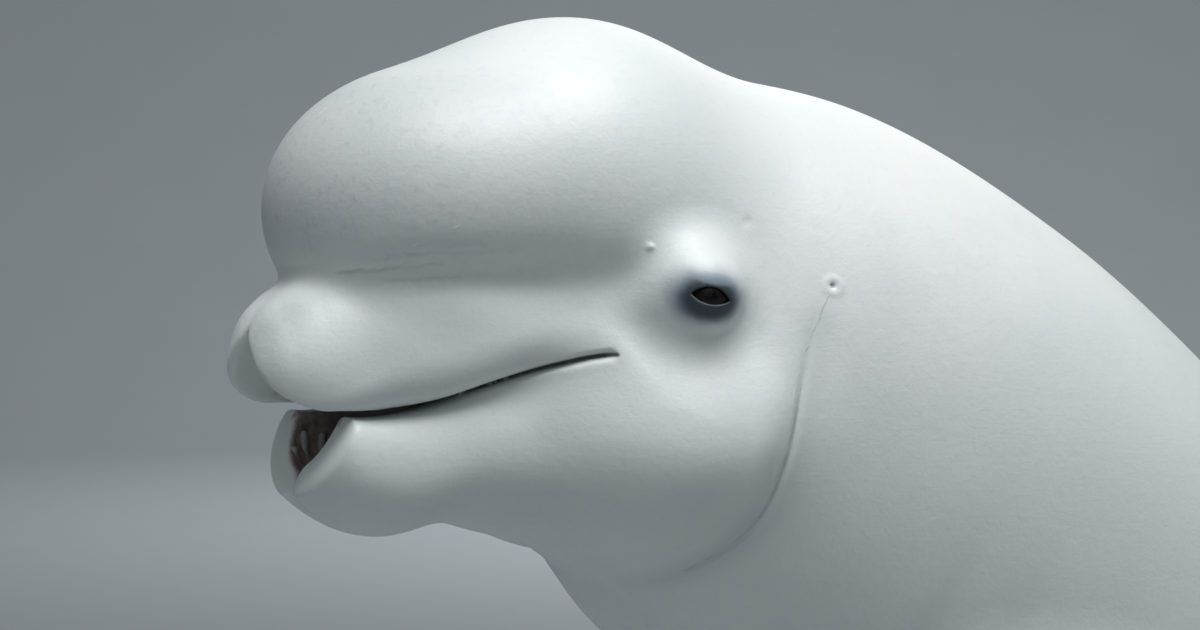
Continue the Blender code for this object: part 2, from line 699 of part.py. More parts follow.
def part_body(body, finish):
    """Name each closed piece of the parted body after the nearest place in PARTS."""
    shape = bmesh.new()
    shape.from_mesh(body.data)
    groups = sorted(islands(shape), key=len, reverse=True)[:len(PARTS)]
    free = dict(PARTS)
    for group in groups:
        corners = {vertex for face in group for vertex in face.verts}
        low = Vector([min(v.co[a] for v in corners) for a in range(3)])
        high = Vector([max(v.co[a] for v in corners) for a in range(3)])
        centre = (low + high) / 2.0
        name = min(free, key=lambda key: (Vector(free[key]) - centre).length)
        del free[name]
        order = {vertex: i for i, vertex in enumerate(corners)}
        mesh = bpy.data.meshes.new(name)
        place = Vector(SNOUT_PLACE)
        mesh.from_pydata([vertex.co + place for vertex in corners], [],
                         [[order[v] for v in face.verts] for face in group])
        mesh.update()
        mesh.shade_smooth()
        mesh.set_sharp_from_angle(angle=math.radians(50.0))
        mesh.materials.append(finish[name])
        new_object(name, mesh)
    shape.free()
    bpy.data.objects.remove(body)


def make_body():
    skin_colour = (0.80, 0.82, 0.80)
    finish = {name: material(name + "_skin", skin_colour, 0.42) for name in PARTS}
    body = make_whole_body()
    combine(body, make_teeth(), "UNION")
    eyes = {"eye_left": eye_centre(1.0), "eye_right": eye_centre(-1.0)}
    sockets = [ball(name + "_socket", centre, EYE_RADIUS + GAP) for name, centre in eyes.items()]
    holes = [rod_hole(name + "_hole", y) for name, y in ROD_PLACES.items()]
    cuts = [cross_cut("neck_cut", NECK_CUT, 0.7, 0.75), cross_cut("shoulder_cut", SHOULDER_CUT, 0.9, 1.1)]
    cuts += [cross_cut("trunk_cut", cut) for cut in TRUNK_CUTS]
    cuts.append(melon_cut("melon_cut"))
    cuts.append(mouth_cut("mouth_cut"))
    between_flukes = Matrix.Translation((0.0, TRUNK_CUTS[-1][0] + 0.25, FLUKE_HEIGHT))
    cuts.append(box_cutter("fluke_cut", (GAP, 0.50, 0.30), between_flukes))
    cuts += [flipper_cut("flipper_cut", 1.0), flipper_cut("flipper_cut", -1.0)]
    combine(body, sockets + holes + cuts, "DIFFERENCE")
    part_body(body, finish)
    eye_finish = material("eye_dark", (0.03, 0.03, 0.035), 0.08)
    for name, centre in eyes.items():
        eye = ball(name, centre + Vector(SNOUT_PLACE), EYE_RADIUS)
        eye.data.shade_smooth()
        eye.data.materials.append(eye_finish)


def make_base():
    paint = material("stand_base_paint", (0.16, 0.17, 0.18), 0.45)
    shape = bmesh.new()
    place = Matrix.Translation((0.0, BASE_CENTRE_Y, BASE_SIZE[2] / 2.0))
    bmesh.ops.create_cube(shape, size=1.0, matrix=place @ Matrix.Diagonal((*BASE_SIZE, 1.0)))
    upright = [e for e in shape.edges if abs(e.verts[0].co.z - e.verts[1].co.z) > 0.01]
    bmesh.ops.bevel(shape, geom=upright, offset=BASE_CORNER_RADIUS, segments=8, profile=0.5, affect="EDGES")
    mesh = bpy.data.meshes.new("stand_base")
    shape.to_mesh(mesh)
    shape.free()
    mesh.materials.append(paint)
    base = new_object("stand_base", mesh)
    edge = base.modifiers.new("soft_edge", "BEVEL")
    edge.width = STAND_EDGE
    edge.segments = 2
    edge.limit_method = "ANGLE"
    edge.angle_limit = math.radians(60.0)


def make_rods():
    paint = material("stand_rod_steel", (0.55, 0.56, 0.57), 0.35, 1.0)
    floor = BASE_SIZE[2] + GAP
    for name, y in ROD_PLACES.items():
        top = rod_top(y)
        step = floor + FLANGE_HEIGHT
        profile = [(FLANGE_RADIUS, floor), (FLANGE_RADIUS, step - 0.003), (FLANGE_RADIUS - 0.003, step),
                   (ROD_RADIUS + 0.008, step), (ROD_RADIUS, step + 0.008), (ROD_RADIUS, top)]
        shape = bmesh.new()
        rings = []
        for radius, height in profile:
            ring = []
            for k in range(ROD_SIDES):
                turn = 2.0 * math.pi * (k + 0.5) / ROD_SIDES
                ring.append(shape.verts.new((radius * math.cos(turn), y + radius * math.sin(turn), height)))
            rings.append(ring)
        for lower, upper in zip(rings, rings[1:]):
            for k in range(ROD_SIDES):
                n = (k + 1) % ROD_SIDES
                shape.faces.new((lower[k], lower[n], upper[n], upper[k]))
        shape.faces.new(rings[0][::-1])
        shape.faces.new(rings[-1])
        mesh = bpy.data.meshes.new(name)
        shape.to_mesh(mesh)
        shape.free()
        mesh.shade_smooth()
        mesh.set_sharp_from_angle(angle=math.radians(35.0))
        mesh.materials.append(paint)
        new_object(name, mesh)


def main():
    for thing in list(bpy.data.objects):
        bpy.data.objects.remove(thing)
    make_body()
    make_base()
    make_rods()


main()
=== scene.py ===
import math

import bmesh
import bpy
import numpy as np
from mathutils import Matrix, Vector


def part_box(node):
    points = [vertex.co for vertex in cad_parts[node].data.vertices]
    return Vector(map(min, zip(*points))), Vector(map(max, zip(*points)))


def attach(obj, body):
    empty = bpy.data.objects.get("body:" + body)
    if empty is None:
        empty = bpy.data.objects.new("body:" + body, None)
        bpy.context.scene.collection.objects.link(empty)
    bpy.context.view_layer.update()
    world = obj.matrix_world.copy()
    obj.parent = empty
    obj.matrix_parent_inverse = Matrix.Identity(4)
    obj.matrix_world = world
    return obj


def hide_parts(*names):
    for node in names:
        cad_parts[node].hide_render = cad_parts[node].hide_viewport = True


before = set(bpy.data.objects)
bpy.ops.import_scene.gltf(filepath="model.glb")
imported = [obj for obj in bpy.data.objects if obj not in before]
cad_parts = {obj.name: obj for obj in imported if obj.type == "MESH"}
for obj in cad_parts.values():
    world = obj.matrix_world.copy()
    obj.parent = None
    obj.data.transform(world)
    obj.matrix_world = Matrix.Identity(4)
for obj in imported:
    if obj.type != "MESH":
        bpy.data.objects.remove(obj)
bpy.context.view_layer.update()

print("frame loaded")

# Adult beluga whale on a plain display stand. Body shapes are written in the snout's frame:
# y runs back from the snout, z is 0 near the eyes, and the left side is at +x.
snoutPlace = np.array((0.0, -1.909, 1.415))

trunk = {
    # behind the snout, height of the back, height of the belly, half width
    "stations": [
        (0.10, 0.080, -0.020, 0.030), (0.16, 0.140, -0.060, 0.070), (0.22, 0.175, -0.127, 0.118),
        (0.28, 0.187, -0.230, 0.160), (0.36, 0.184, -0.296, 0.200), (0.45, 0.171, -0.372, 0.238),
        (0.60, 0.100, -0.495, 0.288), (0.80, -0.053, -0.655, 0.330), (1.00, -0.172, -0.805, 0.357),
        (1.30, -0.305, -0.985, 0.380), (1.60, -0.403, -1.110, 0.380), (2.00, -0.505, -1.185, 0.350),
        (2.40, -0.592, -1.165, 0.280), (2.80, -0.675, -1.085, 0.195), (3.10, -0.733, -1.005, 0.130),
        (3.38, -0.770, -0.935, 0.080), (3.60, -0.795, -0.875, 0.052), (3.72, -0.820, -0.845, 0.040),
    ],
    "squareness": 2.15,
    "ridgeHeight": 0.016,
    "ridgeHalfWidth": 0.016,
    "ridgeStart": (1.55, 1.85),
    "ridgeEnd": (2.20, 2.60),
}

melon = {
    "front": ((0.0, 0.118, 0.074), (0.116, 0.100, 0.094)),
    "back": ((0.0, 0.175, 0.086), (0.136, 0.115, 0.098)),
    "backPitch": 18.0,
    "crown": ((0.0, 0.234, 0.086), (0.153, 0.118, 0.131)),
}

lip = {
    # behind the snout, top, hidden bottom, half width
    "stations": [
        (-0.003, -0.024, -0.036, 0.004), (0.004, -0.006, -0.056, 0.030), (0.016, 0.011, -0.075, 0.047),
        (0.035, 0.024, -0.092, 0.063), (0.060, 0.033, -0.102, 0.078), (0.100, 0.037, -0.102, 0.097),
        (0.150, 0.027, -0.092, 0.118), (0.200, 0.012, -0.082, 0.137), (0.235, 0.004, -0.075, 0.143),
    ],
    "squareness": 2.8,
    "lobe": ((0.027, 0.035, -0.034), (0.036, 0.038, 0.034)),
    "notchTop": -0.012,
    "notchFlare": 1.05,
    "notchBack": 0.050,
    "notchRounding": 0.011,
    "blend": (0.014, 0.034),
    # valley above the lip: distance behind the snout, height
    "valley": [(0.03, 0.026), (0.10, 0.027), (0.15, 0.027), (0.20, 0.027), (0.28, 0.034)],
    "valleyDepth": 0.007,
    "valleyHalfWidth": 0.016,
    "lowerRounding": (0.016, 0.036),
}

mouth = {
    # distance behind the snout, height of the line between the lips
    "line": [(-0.02, -0.062), (0.03, -0.063), (0.06, -0.066), (0.10, -0.061),
             (0.14, -0.047), (0.17, -0.035), (0.21, -0.026), (0.30, -0.028)],
    "cornerFade": (0.185, 0.230),
    "openFrom": 0.052,
    "openSlope": 2.40,
    "floor": ((0.0, 0.075, -0.070), (0.044, 0.050, 0.050)),
    "tongue": ((0.0, 0.090, -0.112), (0.024, 0.042, 0.013)),
    "grooveDepth": 0.0042,
    "grooveHalfWidth": 0.0026,
    "grooveEnd": (0.200, 0.207),
}

jaw = {
    # behind the snout, underside, half width
    "stations": [
        (0.014, -0.108, 0.020), (0.022, -0.118, 0.040), (0.032, -0.127, 0.056), (0.046, -0.138, 0.072),
        (0.065, -0.149, 0.077), (0.090, -0.154, 0.083), (0.130, -0.147, 0.096), (0.170, -0.154, 0.116),
        (0.210, -0.160, 0.138), (0.250, -0.164, 0.163), (0.285, -0.166, 0.182), (0.310, -0.160, 0.189),
    ],
    "squareness": 2.2,
    "upperRounding": 0.010,
    "lipNotch": (0.010, 0.008),
    "foldRounding": 0.022,
    "cheekRise": 0.020,
    # the fold behind the jaw: height, distance behind the snout
    "fold": [(-0.200, 0.262), (-0.174, 0.281), (-0.145, 0.301), (-0.100, 0.312),
             (-0.060, 0.320), (-0.020, 0.331), (0.020, 0.342)],
    "cheekSwell": 0.008,
    "foldDepth": 0.0024,
    "foldHalfWidth": 0.0030,
    "cheek": ((0.055, 0.270, -0.080), (0.130, 0.100, 0.078)),
    "cheekBlend": 0.045,
}

eye = {
    "radius": 0.019,
    "mound": ((0.150, 0.258, 0.018), (0.037, 0.032, 0.032)),
    "moundBlend": 0.029,
    "facing": (0.89, -0.43, -0.12),
    "openingTilt": -8.0,
    "openingHalfWidth": 0.0130,
    "openingTop": 0.0042,
    "openingBottom": 0.0070,
    "lidRadius": 0.0212,
}

flipper = {
    "root": (0.240, 0.560, -0.315),
    "span": (0.66, 0.40, -0.64),
    "lead": (0.15, -0.90, -0.40),
    "paddle": ((0.315, -0.015), (0.205, 0.130)),
    "armRadius": 0.088,
    "halfThickness": (0.030, 0.016),
    "curl": 0.30,
}

fluke = {
    "halfSpan": 0.54,
    "front": 3.42,
    "sweep": 0.34,
    "notch": 3.725,
    "backBulge": 0.095,
    "height": -0.822,
    "halfThickness": (0.043, 0.013),
    "edge": 0.0045,
}


def softMin(a, b, width):
    mix = np.clip(0.5 + 0.5 * (b - a) / width, 0.0, 1.0)
    return b + (a - b) * mix - width * mix * (1.0 - mix)


def softMax(a, b, width):
    return -softMin(-a, -b, width)


# smooth step from 0 at low to 1 at high, which may lie either way round
def ease(low, high, value):
    t = np.clip((value - low) / (high - low), 0.0, 1.0)
    return t * t * (3.0 - 2.0 * t)


# smooth curve through stations, which doesn't swing past them
def curveThrough(stations, value, column=1):
    at = np.array([row[0] for row in stations])
    height = np.array([row[column] for row in stations])
    step = np.diff(at)
    slope = np.diff(height) / step
    tangent = np.empty_like(height)
    tangent[0] = slope[0]
    tangent[-1] = slope[-1]
    middle = (slope[:-1] * step[1:] + slope[1:] * step[:-1]) / (step[1:] + step[:-1])
    tangent[1:-1] = np.where(slope[:-1] * slope[1:] > 0.0, middle, 0.0)
    value = np.clip(value, at[0], at[-1])
    i = np.clip(np.searchsorted(at, value) - 1, 0, len(step) - 1)
    u = (value - at[i]) / step[i]
    u2 = u * u
    u3 = u2 * u
    return ((2 * u3 - 3 * u2 + 1) * height[i] + (u3 - 2 * u2 + u) * step[i] * tangent[i]
            + (3 * u2 - 2 * u3) * height[i + 1] + (u3 - u2) * step[i] * tangent[i + 1])


def ellipsoid(x, y, z, centre, half, pitch=0.0):
    dx = x - centre[0]
    dy = y - centre[1]
    dz = z - centre[2]
    c = math.cos(math.radians(pitch))
    s = math.sin(math.radians(pitch))
    dy, dz = dy * c + dz * s, dz * c - dy * s
    k0 = np.sqrt((dx / half[0]) ** 2 + (dy / half[1]) ** 2 + (dz / half[2]) ** 2)
    k1 = np.sqrt((dx / half[0] ** 2) ** 2 + (dy / half[1] ** 2) ** 2 + (dz / half[2] ** 2) ** 2)
    return k0 * (k0 - 1.0) / np.maximum(k1, 1e-6)


# distance to a cross-section between an ellipse and a box
def roundedSection(x, z, halfWidth, halfHeight, squareness):
    ux = np.abs(x) / halfWidth
    uz = np.abs(z) / halfHeight
    r = (ux ** squareness + uz ** squareness) ** (1.0 / squareness)
    across = ux ** (squareness - 1.0) / halfWidth
    upward = uz ** (squareness - 1.0) / halfHeight
    steepness = np.sqrt(across ** 2 + upward ** 2) / np.maximum(r, 1e-6) ** (squareness - 1.0)
    return (r - 1.0) / np.maximum(steepness, 1e-4)


def trunkField(x, y, z):
    rows = trunk["stations"]
    top = curveThrough(rows, y, 1)
    bottom = curveThrough(rows, y, 2)
    middle = (top + bottom) / 2.0
    d = roundedSection(x, z - middle, curveThrough(rows, y, 3), (top - bottom) / 2.0, trunk["squareness"])
    alongBack = ease(*trunk["ridgeStart"], y) * (1.0 - ease(*trunk["ridgeEnd"], y))
    ridge = np.exp(-(x / trunk["ridgeHalfWidth"]) ** 2) * ease(0.0, 0.1, z - middle)
    d = d - trunk["ridgeHeight"] * ridge * alongBack
    d = softMax(d, rows[0][0] - y, 0.05)
    return softMax(d, y - rows[-1][0], 0.03)


def lipField(x, y, z):
    rows = lip["stations"]
    top = curveThrough(rows, y, 1)
    bottom = curveThrough(rows, y, 2)
    halfWidth = curveThrough(rows, y, 3)
    d = roundedSection(x, z - (top + bottom) / 2.0, halfWidth, (top - bottom) / 2.0, lip["squareness"])
    d = softMax(d, rows[0][0] - y, 0.01)
    d = softMax(d, y - rows[-1][0], 0.05)
    front, back = lip["lowerRounding"]
    rounding = front + (back - front) * ease(0.03, 0.09, y)
    rounding = 0.005 + (rounding - 0.005) * (1.0 - ease(*mouth["cornerFade"], y))
    d = softMax(d, curveThrough(mouth["line"], y) - z, rounding)
    d = softMin(d, ellipsoid(x, y, z, *lip["lobe"]), 0.03)
    below = lip["notchTop"] - z
    notch = np.maximum(x - 0.001 - below * lip["notchFlare"], y - lip["notchBack"] - below * 0.2)
    return softMax(d, -np.maximum(notch, -below), lip["notchRounding"])


def upperHeadField(x, y, z):
    d = ellipsoid(x, y, z, *melon["front"])
    d = softMin(d, ellipsoid(x, y, z, *melon["back"], pitch=melon["backPitch"]), 0.04)
    d = softMin(d, ellipsoid(x, y, z, *melon["crown"]), 0.04)
    front, back = lip["blend"]
    d = softMin(d, lipField(x, y, z), front + (back - front) * ease(0.03, 0.13, y))
    above = (z - curveThrough(lip["valley"], y)) / lip["valleyHalfWidth"]
    along = ease(0.04, 0.10, y) * (1.0 - ease(0.20, 0.28, y)) * ease(0.03, 0.07, x)
    d = d + lip["valleyDepth"] * np.exp(-above ** 2) * along
    return softMin(d, ellipsoid(x, y, z, *jaw["cheek"]), jaw["cheekBlend"])


def jawField(x, y, z):
    line = curveThrough(mouth["line"], y)
    top = line + 0.022 + jaw["cheekRise"] * ease(0.19, 0.28, y)
    bottom = curveThrough(jaw["stations"], y, 1)
    halfWidth = curveThrough(jaw["stations"], y, 2)
    d = roundedSection(x, z - (top + bottom) / 2.0, halfWidth, (top - bottom) / 2.0, jaw["squareness"])
    d = softMax(d, jaw["stations"][0][0] - y, 0.012)
    d = softMax(d, y - curveThrough(jaw["fold"], z), jaw["foldRounding"])
    opening = np.maximum(mouth["openFrom"] - y, 0.0) * mouth["openSlope"]
    rounding = 0.005 + (jaw["upperRounding"] - 0.005) * (1.0 - ease(*mouth["cornerFade"], y))
    d = softMax(d, z - line + opening - jaw["cheekRise"] * ease(0.20, 0.28, y), rounding)
    d = softMax(d, -ellipsoid(x, y, z, *mouth["floor"]), 0.008)
    d = softMin(d, ellipsoid(x, y, z, *mouth["tongue"]), 0.004)
    depth, halfWidth = jaw["lipNotch"]
    return d + depth * np.exp(-(x / halfWidth) ** 2) * (1.0 - ease(0.03, 0.06, y)) * ease(-0.140, -0.125, z)


# thin blade, from its plan as a distance and the height above its middle
def bladeField(plan, across, halfThickness, rounding):
    inward = np.clip(-plan / rounding, 0.0, 1.0)
    swell = np.sqrt(np.clip(1.0 - (1.0 - inward) ** 2, 0.0, 1.0))
    half = fluke["edge"] + (halfThickness - fluke["edge"]) * swell
    outside = np.sqrt(np.maximum(plan, 0.0) ** 2 + across ** 2) - fluke["edge"]
    return np.where(plan > 0.0, outside, np.maximum((np.abs(across) - half) * 0.9, -0.05))


def flipperAxes():
    span = Vector(flipper["span"]).normalized()
    lead = Vector(flipper["lead"])
    lead = (lead - span * lead.dot(span)).normalized()
    return span, lead, span.cross(lead)


def flipperField(x, y, z):
    span, lead, face = flipperAxes()
    px, py, pz = (v - at for v, at in zip((x, y, z), flipper["root"]))
    s = px * span[0] + py * span[1] + pz * span[2]
    c = px * lead[0] + py * lead[1] + pz * lead[2]
    n = px * face[0] + py * face[1] + pz * face[2]
    n = n - flipper["curl"] * np.clip(s - 0.15, 0.0, 1.0) ** 2
    centre, half = flipper["paddle"]
    plan = ellipsoid(s, c, 0.0, (centre[0], centre[1], 0.0), (half[0], half[1], 1.0))
    reach = np.clip((s + 0.05) / 0.25, 0.0, 1.0)
    arm = np.sqrt((s + 0.05 - 0.25 * reach) ** 2 + (c - 0.02) ** 2) - flipper["armRadius"]
    plan = softMin(plan, arm, 0.06)
    thick, thin = flipper["halfThickness"]
    d = bladeField(plan, n, thin + (thick - thin) * (1.0 - ease(0.1, 0.5, s)), 0.09)
    return softMin(d, ellipsoid(s, c, n, (0.0, 0.01, 0.0), (0.13, 0.08, 0.05)), 0.03)


def flukeField(x, y, z):
    u = np.clip(x / fluke["halfSpan"], 0.0, 1.2)
    front = fluke["front"] + fluke["sweep"] * u ** 1.2 - 0.05 * np.exp(-(x / 0.09) ** 2)
    back = fluke["notch"] + fluke["backBulge"] * np.sin(np.pi * np.clip(u / 0.8, 0.0, 1.25))
    plan = softMax((front - y) * 0.86, (y - back) * 0.93, 0.05)
    plan = softMax(plan, x - fluke["halfSpan"] + 0.01, 0.05)
    middle = fluke["height"] - 0.06 * x ** 2 + 0.02 * (y - 3.6)
    thick, thin = fluke["halfThickness"]
    half = thin + (thick - thin) * (1.0 - ease(0.0, 0.22, x))
    return bladeField(plan, z - middle, half, 0.085)


# swell of the cheek in front of the fold that parts the jaw from the neck
def cheekFold(d, y, z):
    ahead = curveThrough(jaw["fold"], z) - y
    strength = ease(-0.02, -0.11, z) * ease(-0.235, -0.19, z)
    d = d - jaw["cheekSwell"] * strength * ease(0.0, 0.035, ahead) * (1.0 - ease(0.05, 0.17, ahead))
    groove = np.exp(-(ahead / jaw["foldHalfWidth"]) ** 2) * ease(0.015, -0.09, z) * ease(-0.20, -0.165, z)
    return d + jaw["foldDepth"] * groove


# narrow groove along the closed part of the mouth
def mouthGroove(y, z):
    away = (z - curveThrough(mouth["line"], y)) / mouth["grooveHalfWidth"]
    along = ease(0.03, 0.06, y) * (1.0 - ease(*mouth["grooveEnd"], y))
    return mouth["grooveDepth"] * np.exp(-away ** 2) * along


# the animal without lids, on the side where x is positive
def formField(x, y, z):
    d = trunkField(x, y, z)
    d = softMin(d, upperHeadField(x, y, z), 0.06)
    d = softMin(d, ellipsoid(x, y, z, *eye["mound"]), eye["moundBlend"])
    foldGap = curveThrough(jaw["fold"], z) - y
    merge = ease(0.09, 0.27, y) * ease(0.0, 0.09, foldGap)
    d = softMin(d, jawField(x, y, z), 0.004 + 0.046 * merge)
    d = cheekFold(d, y, z)
    d = d + mouthGroove(y, z)
    d = softMin(d, flipperField(x, y, z), 0.05)
    return softMin(d, flukeField(x, y, z), 0.035)


# middle of the left eye, and which way its gaze, its front corner and its top point
def eyeFrame():
    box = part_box("eye_left")
    centre = np.array((box[0] + box[1]) / 2.0) - snoutPlace
    facing = Vector(eye["facing"]).normalized()
    forward = Vector((0.0, -1.0, 0.0))
    forward = (forward - facing * forward.dot(facing)).normalized()
    up = forward.cross(facing) * -1.0
    turn = Matrix.Rotation(math.radians(eye["openingTilt"]), 3, facing)
    return centre, np.array(facing), np.array(turn @ forward), np.array(turn @ up)


eyeCentre, eyeFacing, eyeForward, eyeUp = eyeFrame()


# how far a point lies out from, ahead of and above the middle of the eye
def eyeOffsets(x, y, z):
    dx, dy, dz = (v - at for v, at in zip((x, y, z), eyeCentre))
    return [dx * way[0] + dy * way[1] + dz * way[2] for way in (eyeFacing, eyeForward, eyeUp)]


# opening between the lids: a lens shape, flatter above than below
def eyeOpening(x, y, z):
    out, ahead, above = eyeOffsets(x, y, z)
    w = eye["openingHalfWidth"]
    top = eye["openingTop"]
    low = eye["openingBottom"]
    topRadius = (w * w + top * top) / (2.0 * top)
    lowRadius = (w * w + low * low) / (2.0 * low)
    d = np.maximum(np.sqrt(ahead ** 2 + (above - top + topRadius) ** 2) - topRadius,
                   np.sqrt(ahead ** 2 + (above + low - lowRadius) ** 2) - lowRadius)
    return np.maximum(d, 0.009 - out)


def lidField(d, x, y, z):
    near = ((y - eyeCentre[1]) ** 2 + (z - eyeCentre[2]) ** 2 < 0.06 ** 2) & (x > 0.10)
    if not near.any():
        return d
    ball = ellipsoid(x, y, z, eyeCentre, (eye["lidRadius"],) * 3)
    shaped = softMin(d, ball, 0.010)
    shaped = softMax(shaped, -eyeOpening(x, y, z), 0.0015)
    return np.where(near, shaped, d)


marks = {
    # distance behind the snout and height of the small marks on each side of the head
    "ear": (0.3500, 0.0198),
    "earPit": (0.0030, 0.0015),
    "earRing": (0.0006, 0.0052, 0.0026),
    "pimple": (0.2246, 0.0450),
    "pimpleSize": (0.0010, 0.0022),
    "dimple": (0.2979, 0.0631),
    "dimpleSize": (-0.0010, 0.0026),
    "blowhole": 0.372,
    "blowholeBend": 14.0,
    "blowholeHalfWidth": 0.021,
    "blowholeGroove": (0.0065, 0.0028),
    # wrinkles where the lip meets the melon: start and end as distance and height, depth
    "wrinkles": [((0.045, 0.0285), (0.098, 0.0345), 0.0013), ((0.070, 0.0215), (0.112, 0.0255), 0.0009),
                 ((0.078, 0.0400), (0.125, 0.0420), 0.0009), ((0.060, 0.0365), (0.100, 0.0455), 0.0008)],
    "wrinkleHalfWidth": 0.0017,
    "throatFolds": [0.400, 0.452, 0.520],
    "throatFoldSize": (0.0030, 0.0100),
}


# distance from a place that is given by distance behind the snout and height
def distanceTo(y, z, place):
    return np.sqrt((y - place[0]) ** 2 + (z - place[1]) ** 2)


# squared distance from the curved slit of the blowhole, seen from above
def blowholeSquare(x, y):
    curve = y - marks["blowhole"] + marks["blowholeBend"] * x ** 2
    return curve ** 2 + np.maximum(x - marks["blowholeHalfWidth"], 0.0) ** 2


# how far a point lies from a straight line between two others, all given by distance and height
def lineDistance(y, z, start, end):
    along = (end[0] - start[0], end[1] - start[1])
    length = along[0] ** 2 + along[1] ** 2
    t = np.clip(((y - start[0]) * along[0] + (z - start[1]) * along[1]) / length, 0.0, 1.0)
    return np.sqrt((y - start[0] - t * along[0]) ** 2 + (z - start[1] - t * along[1]) ** 2)


# ears, blowhole, wrinkles and other marks too fine for the solids
def fineMarks(d, x, y, z):
    r = distanceTo(y, z, marks["ear"])
    depth, width = marks["earPit"]
    height, radius, ringWidth = marks["earRing"]
    side = ease(0.08, 0.11, x)
    ear = depth * np.exp(-(r / width) ** 2) - height * np.exp(-((r - radius) / ringWidth) ** 2)
    d = d + ear * side
    for spot in ("pimple", "dimple"):
        height, width = marks[spot + "Size"]
        d = np.where(x > 0.08, d - height * np.exp(-(distanceTo(y, z, marks[spot]) / width) ** 2), d)
    lean = 0.0004 * np.sin(900.0 * y) + 0.0006 * np.sin(310.0 * y + 1.0)
    for start, end, size in marks["wrinkles"]:
        away = lineDistance(y, z + lean, start, end) / marks["wrinkleHalfWidth"]
        d = d + size * np.exp(-away ** 2) * ease(0.04, 0.06, x)
    depth, width = marks["blowholeGroove"]
    d = d + depth * np.exp(-blowholeSquare(x, y) / width ** 2) * ease(0.08, 0.12, z)
    depth, width = marks["throatFoldSize"]
    for place in marks["throatFolds"]:
        away = (y - place - 0.30 * (z + 0.30)) / width
        d = d + depth * np.exp(-away ** 2) * ease(-0.10, -0.24, z) * ease(0.20, 0.02, x - 0.10)
    return d


def skinField(x, y, z):
    x = np.sqrt(x * x + 0.002 ** 2)
    d = formField(x, y, z)
    return lidField(fineMarks(d, x, y, z), x, y, z)


# grid lines whose step changes from one span to the next
def gradedLines(spans):
    lines = [spans[0][0]]
    for start, end, step in spans:
        count = max(1, round((end - start) / step))
        lines.extend(start + (end - start) * (k + 1) / count for k in range(count))
    while (len(lines) - 1) % coarseStep:
        lines.append(2.0 * lines[-1] - lines[-2])
    return np.array(lines)


coarseStep = 4
fineness = 1.0
grid = {
    "x": [(0.0, 0.24, 0.003), (0.24, 0.60, 0.006)],
    "y": [(-0.03, 0.42, 0.003), (0.42, 1.00, 0.006), (1.00, 3.38, 0.014), (3.38, 3.88, 0.006)],
    "z": [(-1.22, -0.87, 0.010), (-0.87, -0.79, 0.0025), (-0.79, -0.72, 0.007),
          (-0.72, -0.24, 0.006), (-0.24, 0.25, 0.003)],
}


# field values on the whole grid, worked out only in the blocks that the skin may cross
def sampleSkin(xs, ys, zs):
    lines = (xs, ys, zs)
    rough = [line[::coarseStep] for line in lines]
    coarse = skinField(rough[0][:, None, None], rough[1][None, :, None], rough[2][None, None, :])
    blocks = tuple(len(line) - 1 for line in rough)
    sizes = [np.diff(line) for line in rough]
    diagonal = np.sqrt(sizes[0][:, None, None] ** 2 + sizes[1][None, :, None] ** 2
                       + sizes[2][None, None, :] ** 2)
    nearest = np.full(blocks, 9.0)
    for i in (0, 1):
        for j in (0, 1):
            for k in (0, 1):
                corner = coarse[i:i + blocks[0], j:j + blocks[1], k:k + blocks[2]]
                nearest = np.minimum(nearest, np.abs(corner))
    needed = nearest < 0.7 * diagonal + 0.003
    shape = tuple(len(line) for line in lines)
    wanted = np.zeros(shape, dtype=bool)
    for i in range(coarseStep + 1):
        for j in range(coarseStep + 1):
            for k in range(coarseStep + 1):
                window = tuple(slice(o, o + coarseStep * n, coarseStep)
                               for o, n in zip((i, j, k), blocks))
                wanted[window] |= needed
    nearestLine = [np.minimum((np.arange(n) + coarseStep // 2) // coarseStep, len(r) - 1)
                   for n, r in zip(shape, rough)]
    sign = np.where(coarse < 0.0, -1.0, 1.0).astype(np.float32)
    values = sign[np.ix_(*nearestLine)]
    at = np.nonzero(wanted)
    batch = 300000
    for start in range(0, len(at[0]), batch):
        part = tuple(a[start:start + batch] for a in at)
        values[part] = skinField(xs[part[0]], ys[part[1]], zs[part[2]])
    print("skin sampled at", len(at[0]), "points")
    return values


# fill grid faces whose corners are solid on one diagonal only, where the mesh would pinch
def clearTouchingCorners(values):
    full = [slice(None)] * 3
    for _ in range(12):
        found = 0
        for a, b in ((0, 1), (1, 2), (0, 2)):
            corners = []
            for da, db in ((0, 0), (0, 1), (1, 1), (1, 0)):
                window = list(full)
                window[a] = slice(da, values.shape[a] - 1 + da)
                window[b] = slice(db, values.shape[b] - 1 + db)
                corners.append(values[tuple(window)])
            solid = [corner < 0.0 for corner in corners]
            crossed = (solid[0] == solid[2]) & (solid[1] == solid[3]) & (solid[0] != solid[1])
            found += int(crossed.sum())
            for k in range(4):
                corner = corners[k]
                corner[crossed & (corner > 0.0) & (corner <= corners[(k + 2) % 4])] = -1e-4
        if not found:
            break
    return values


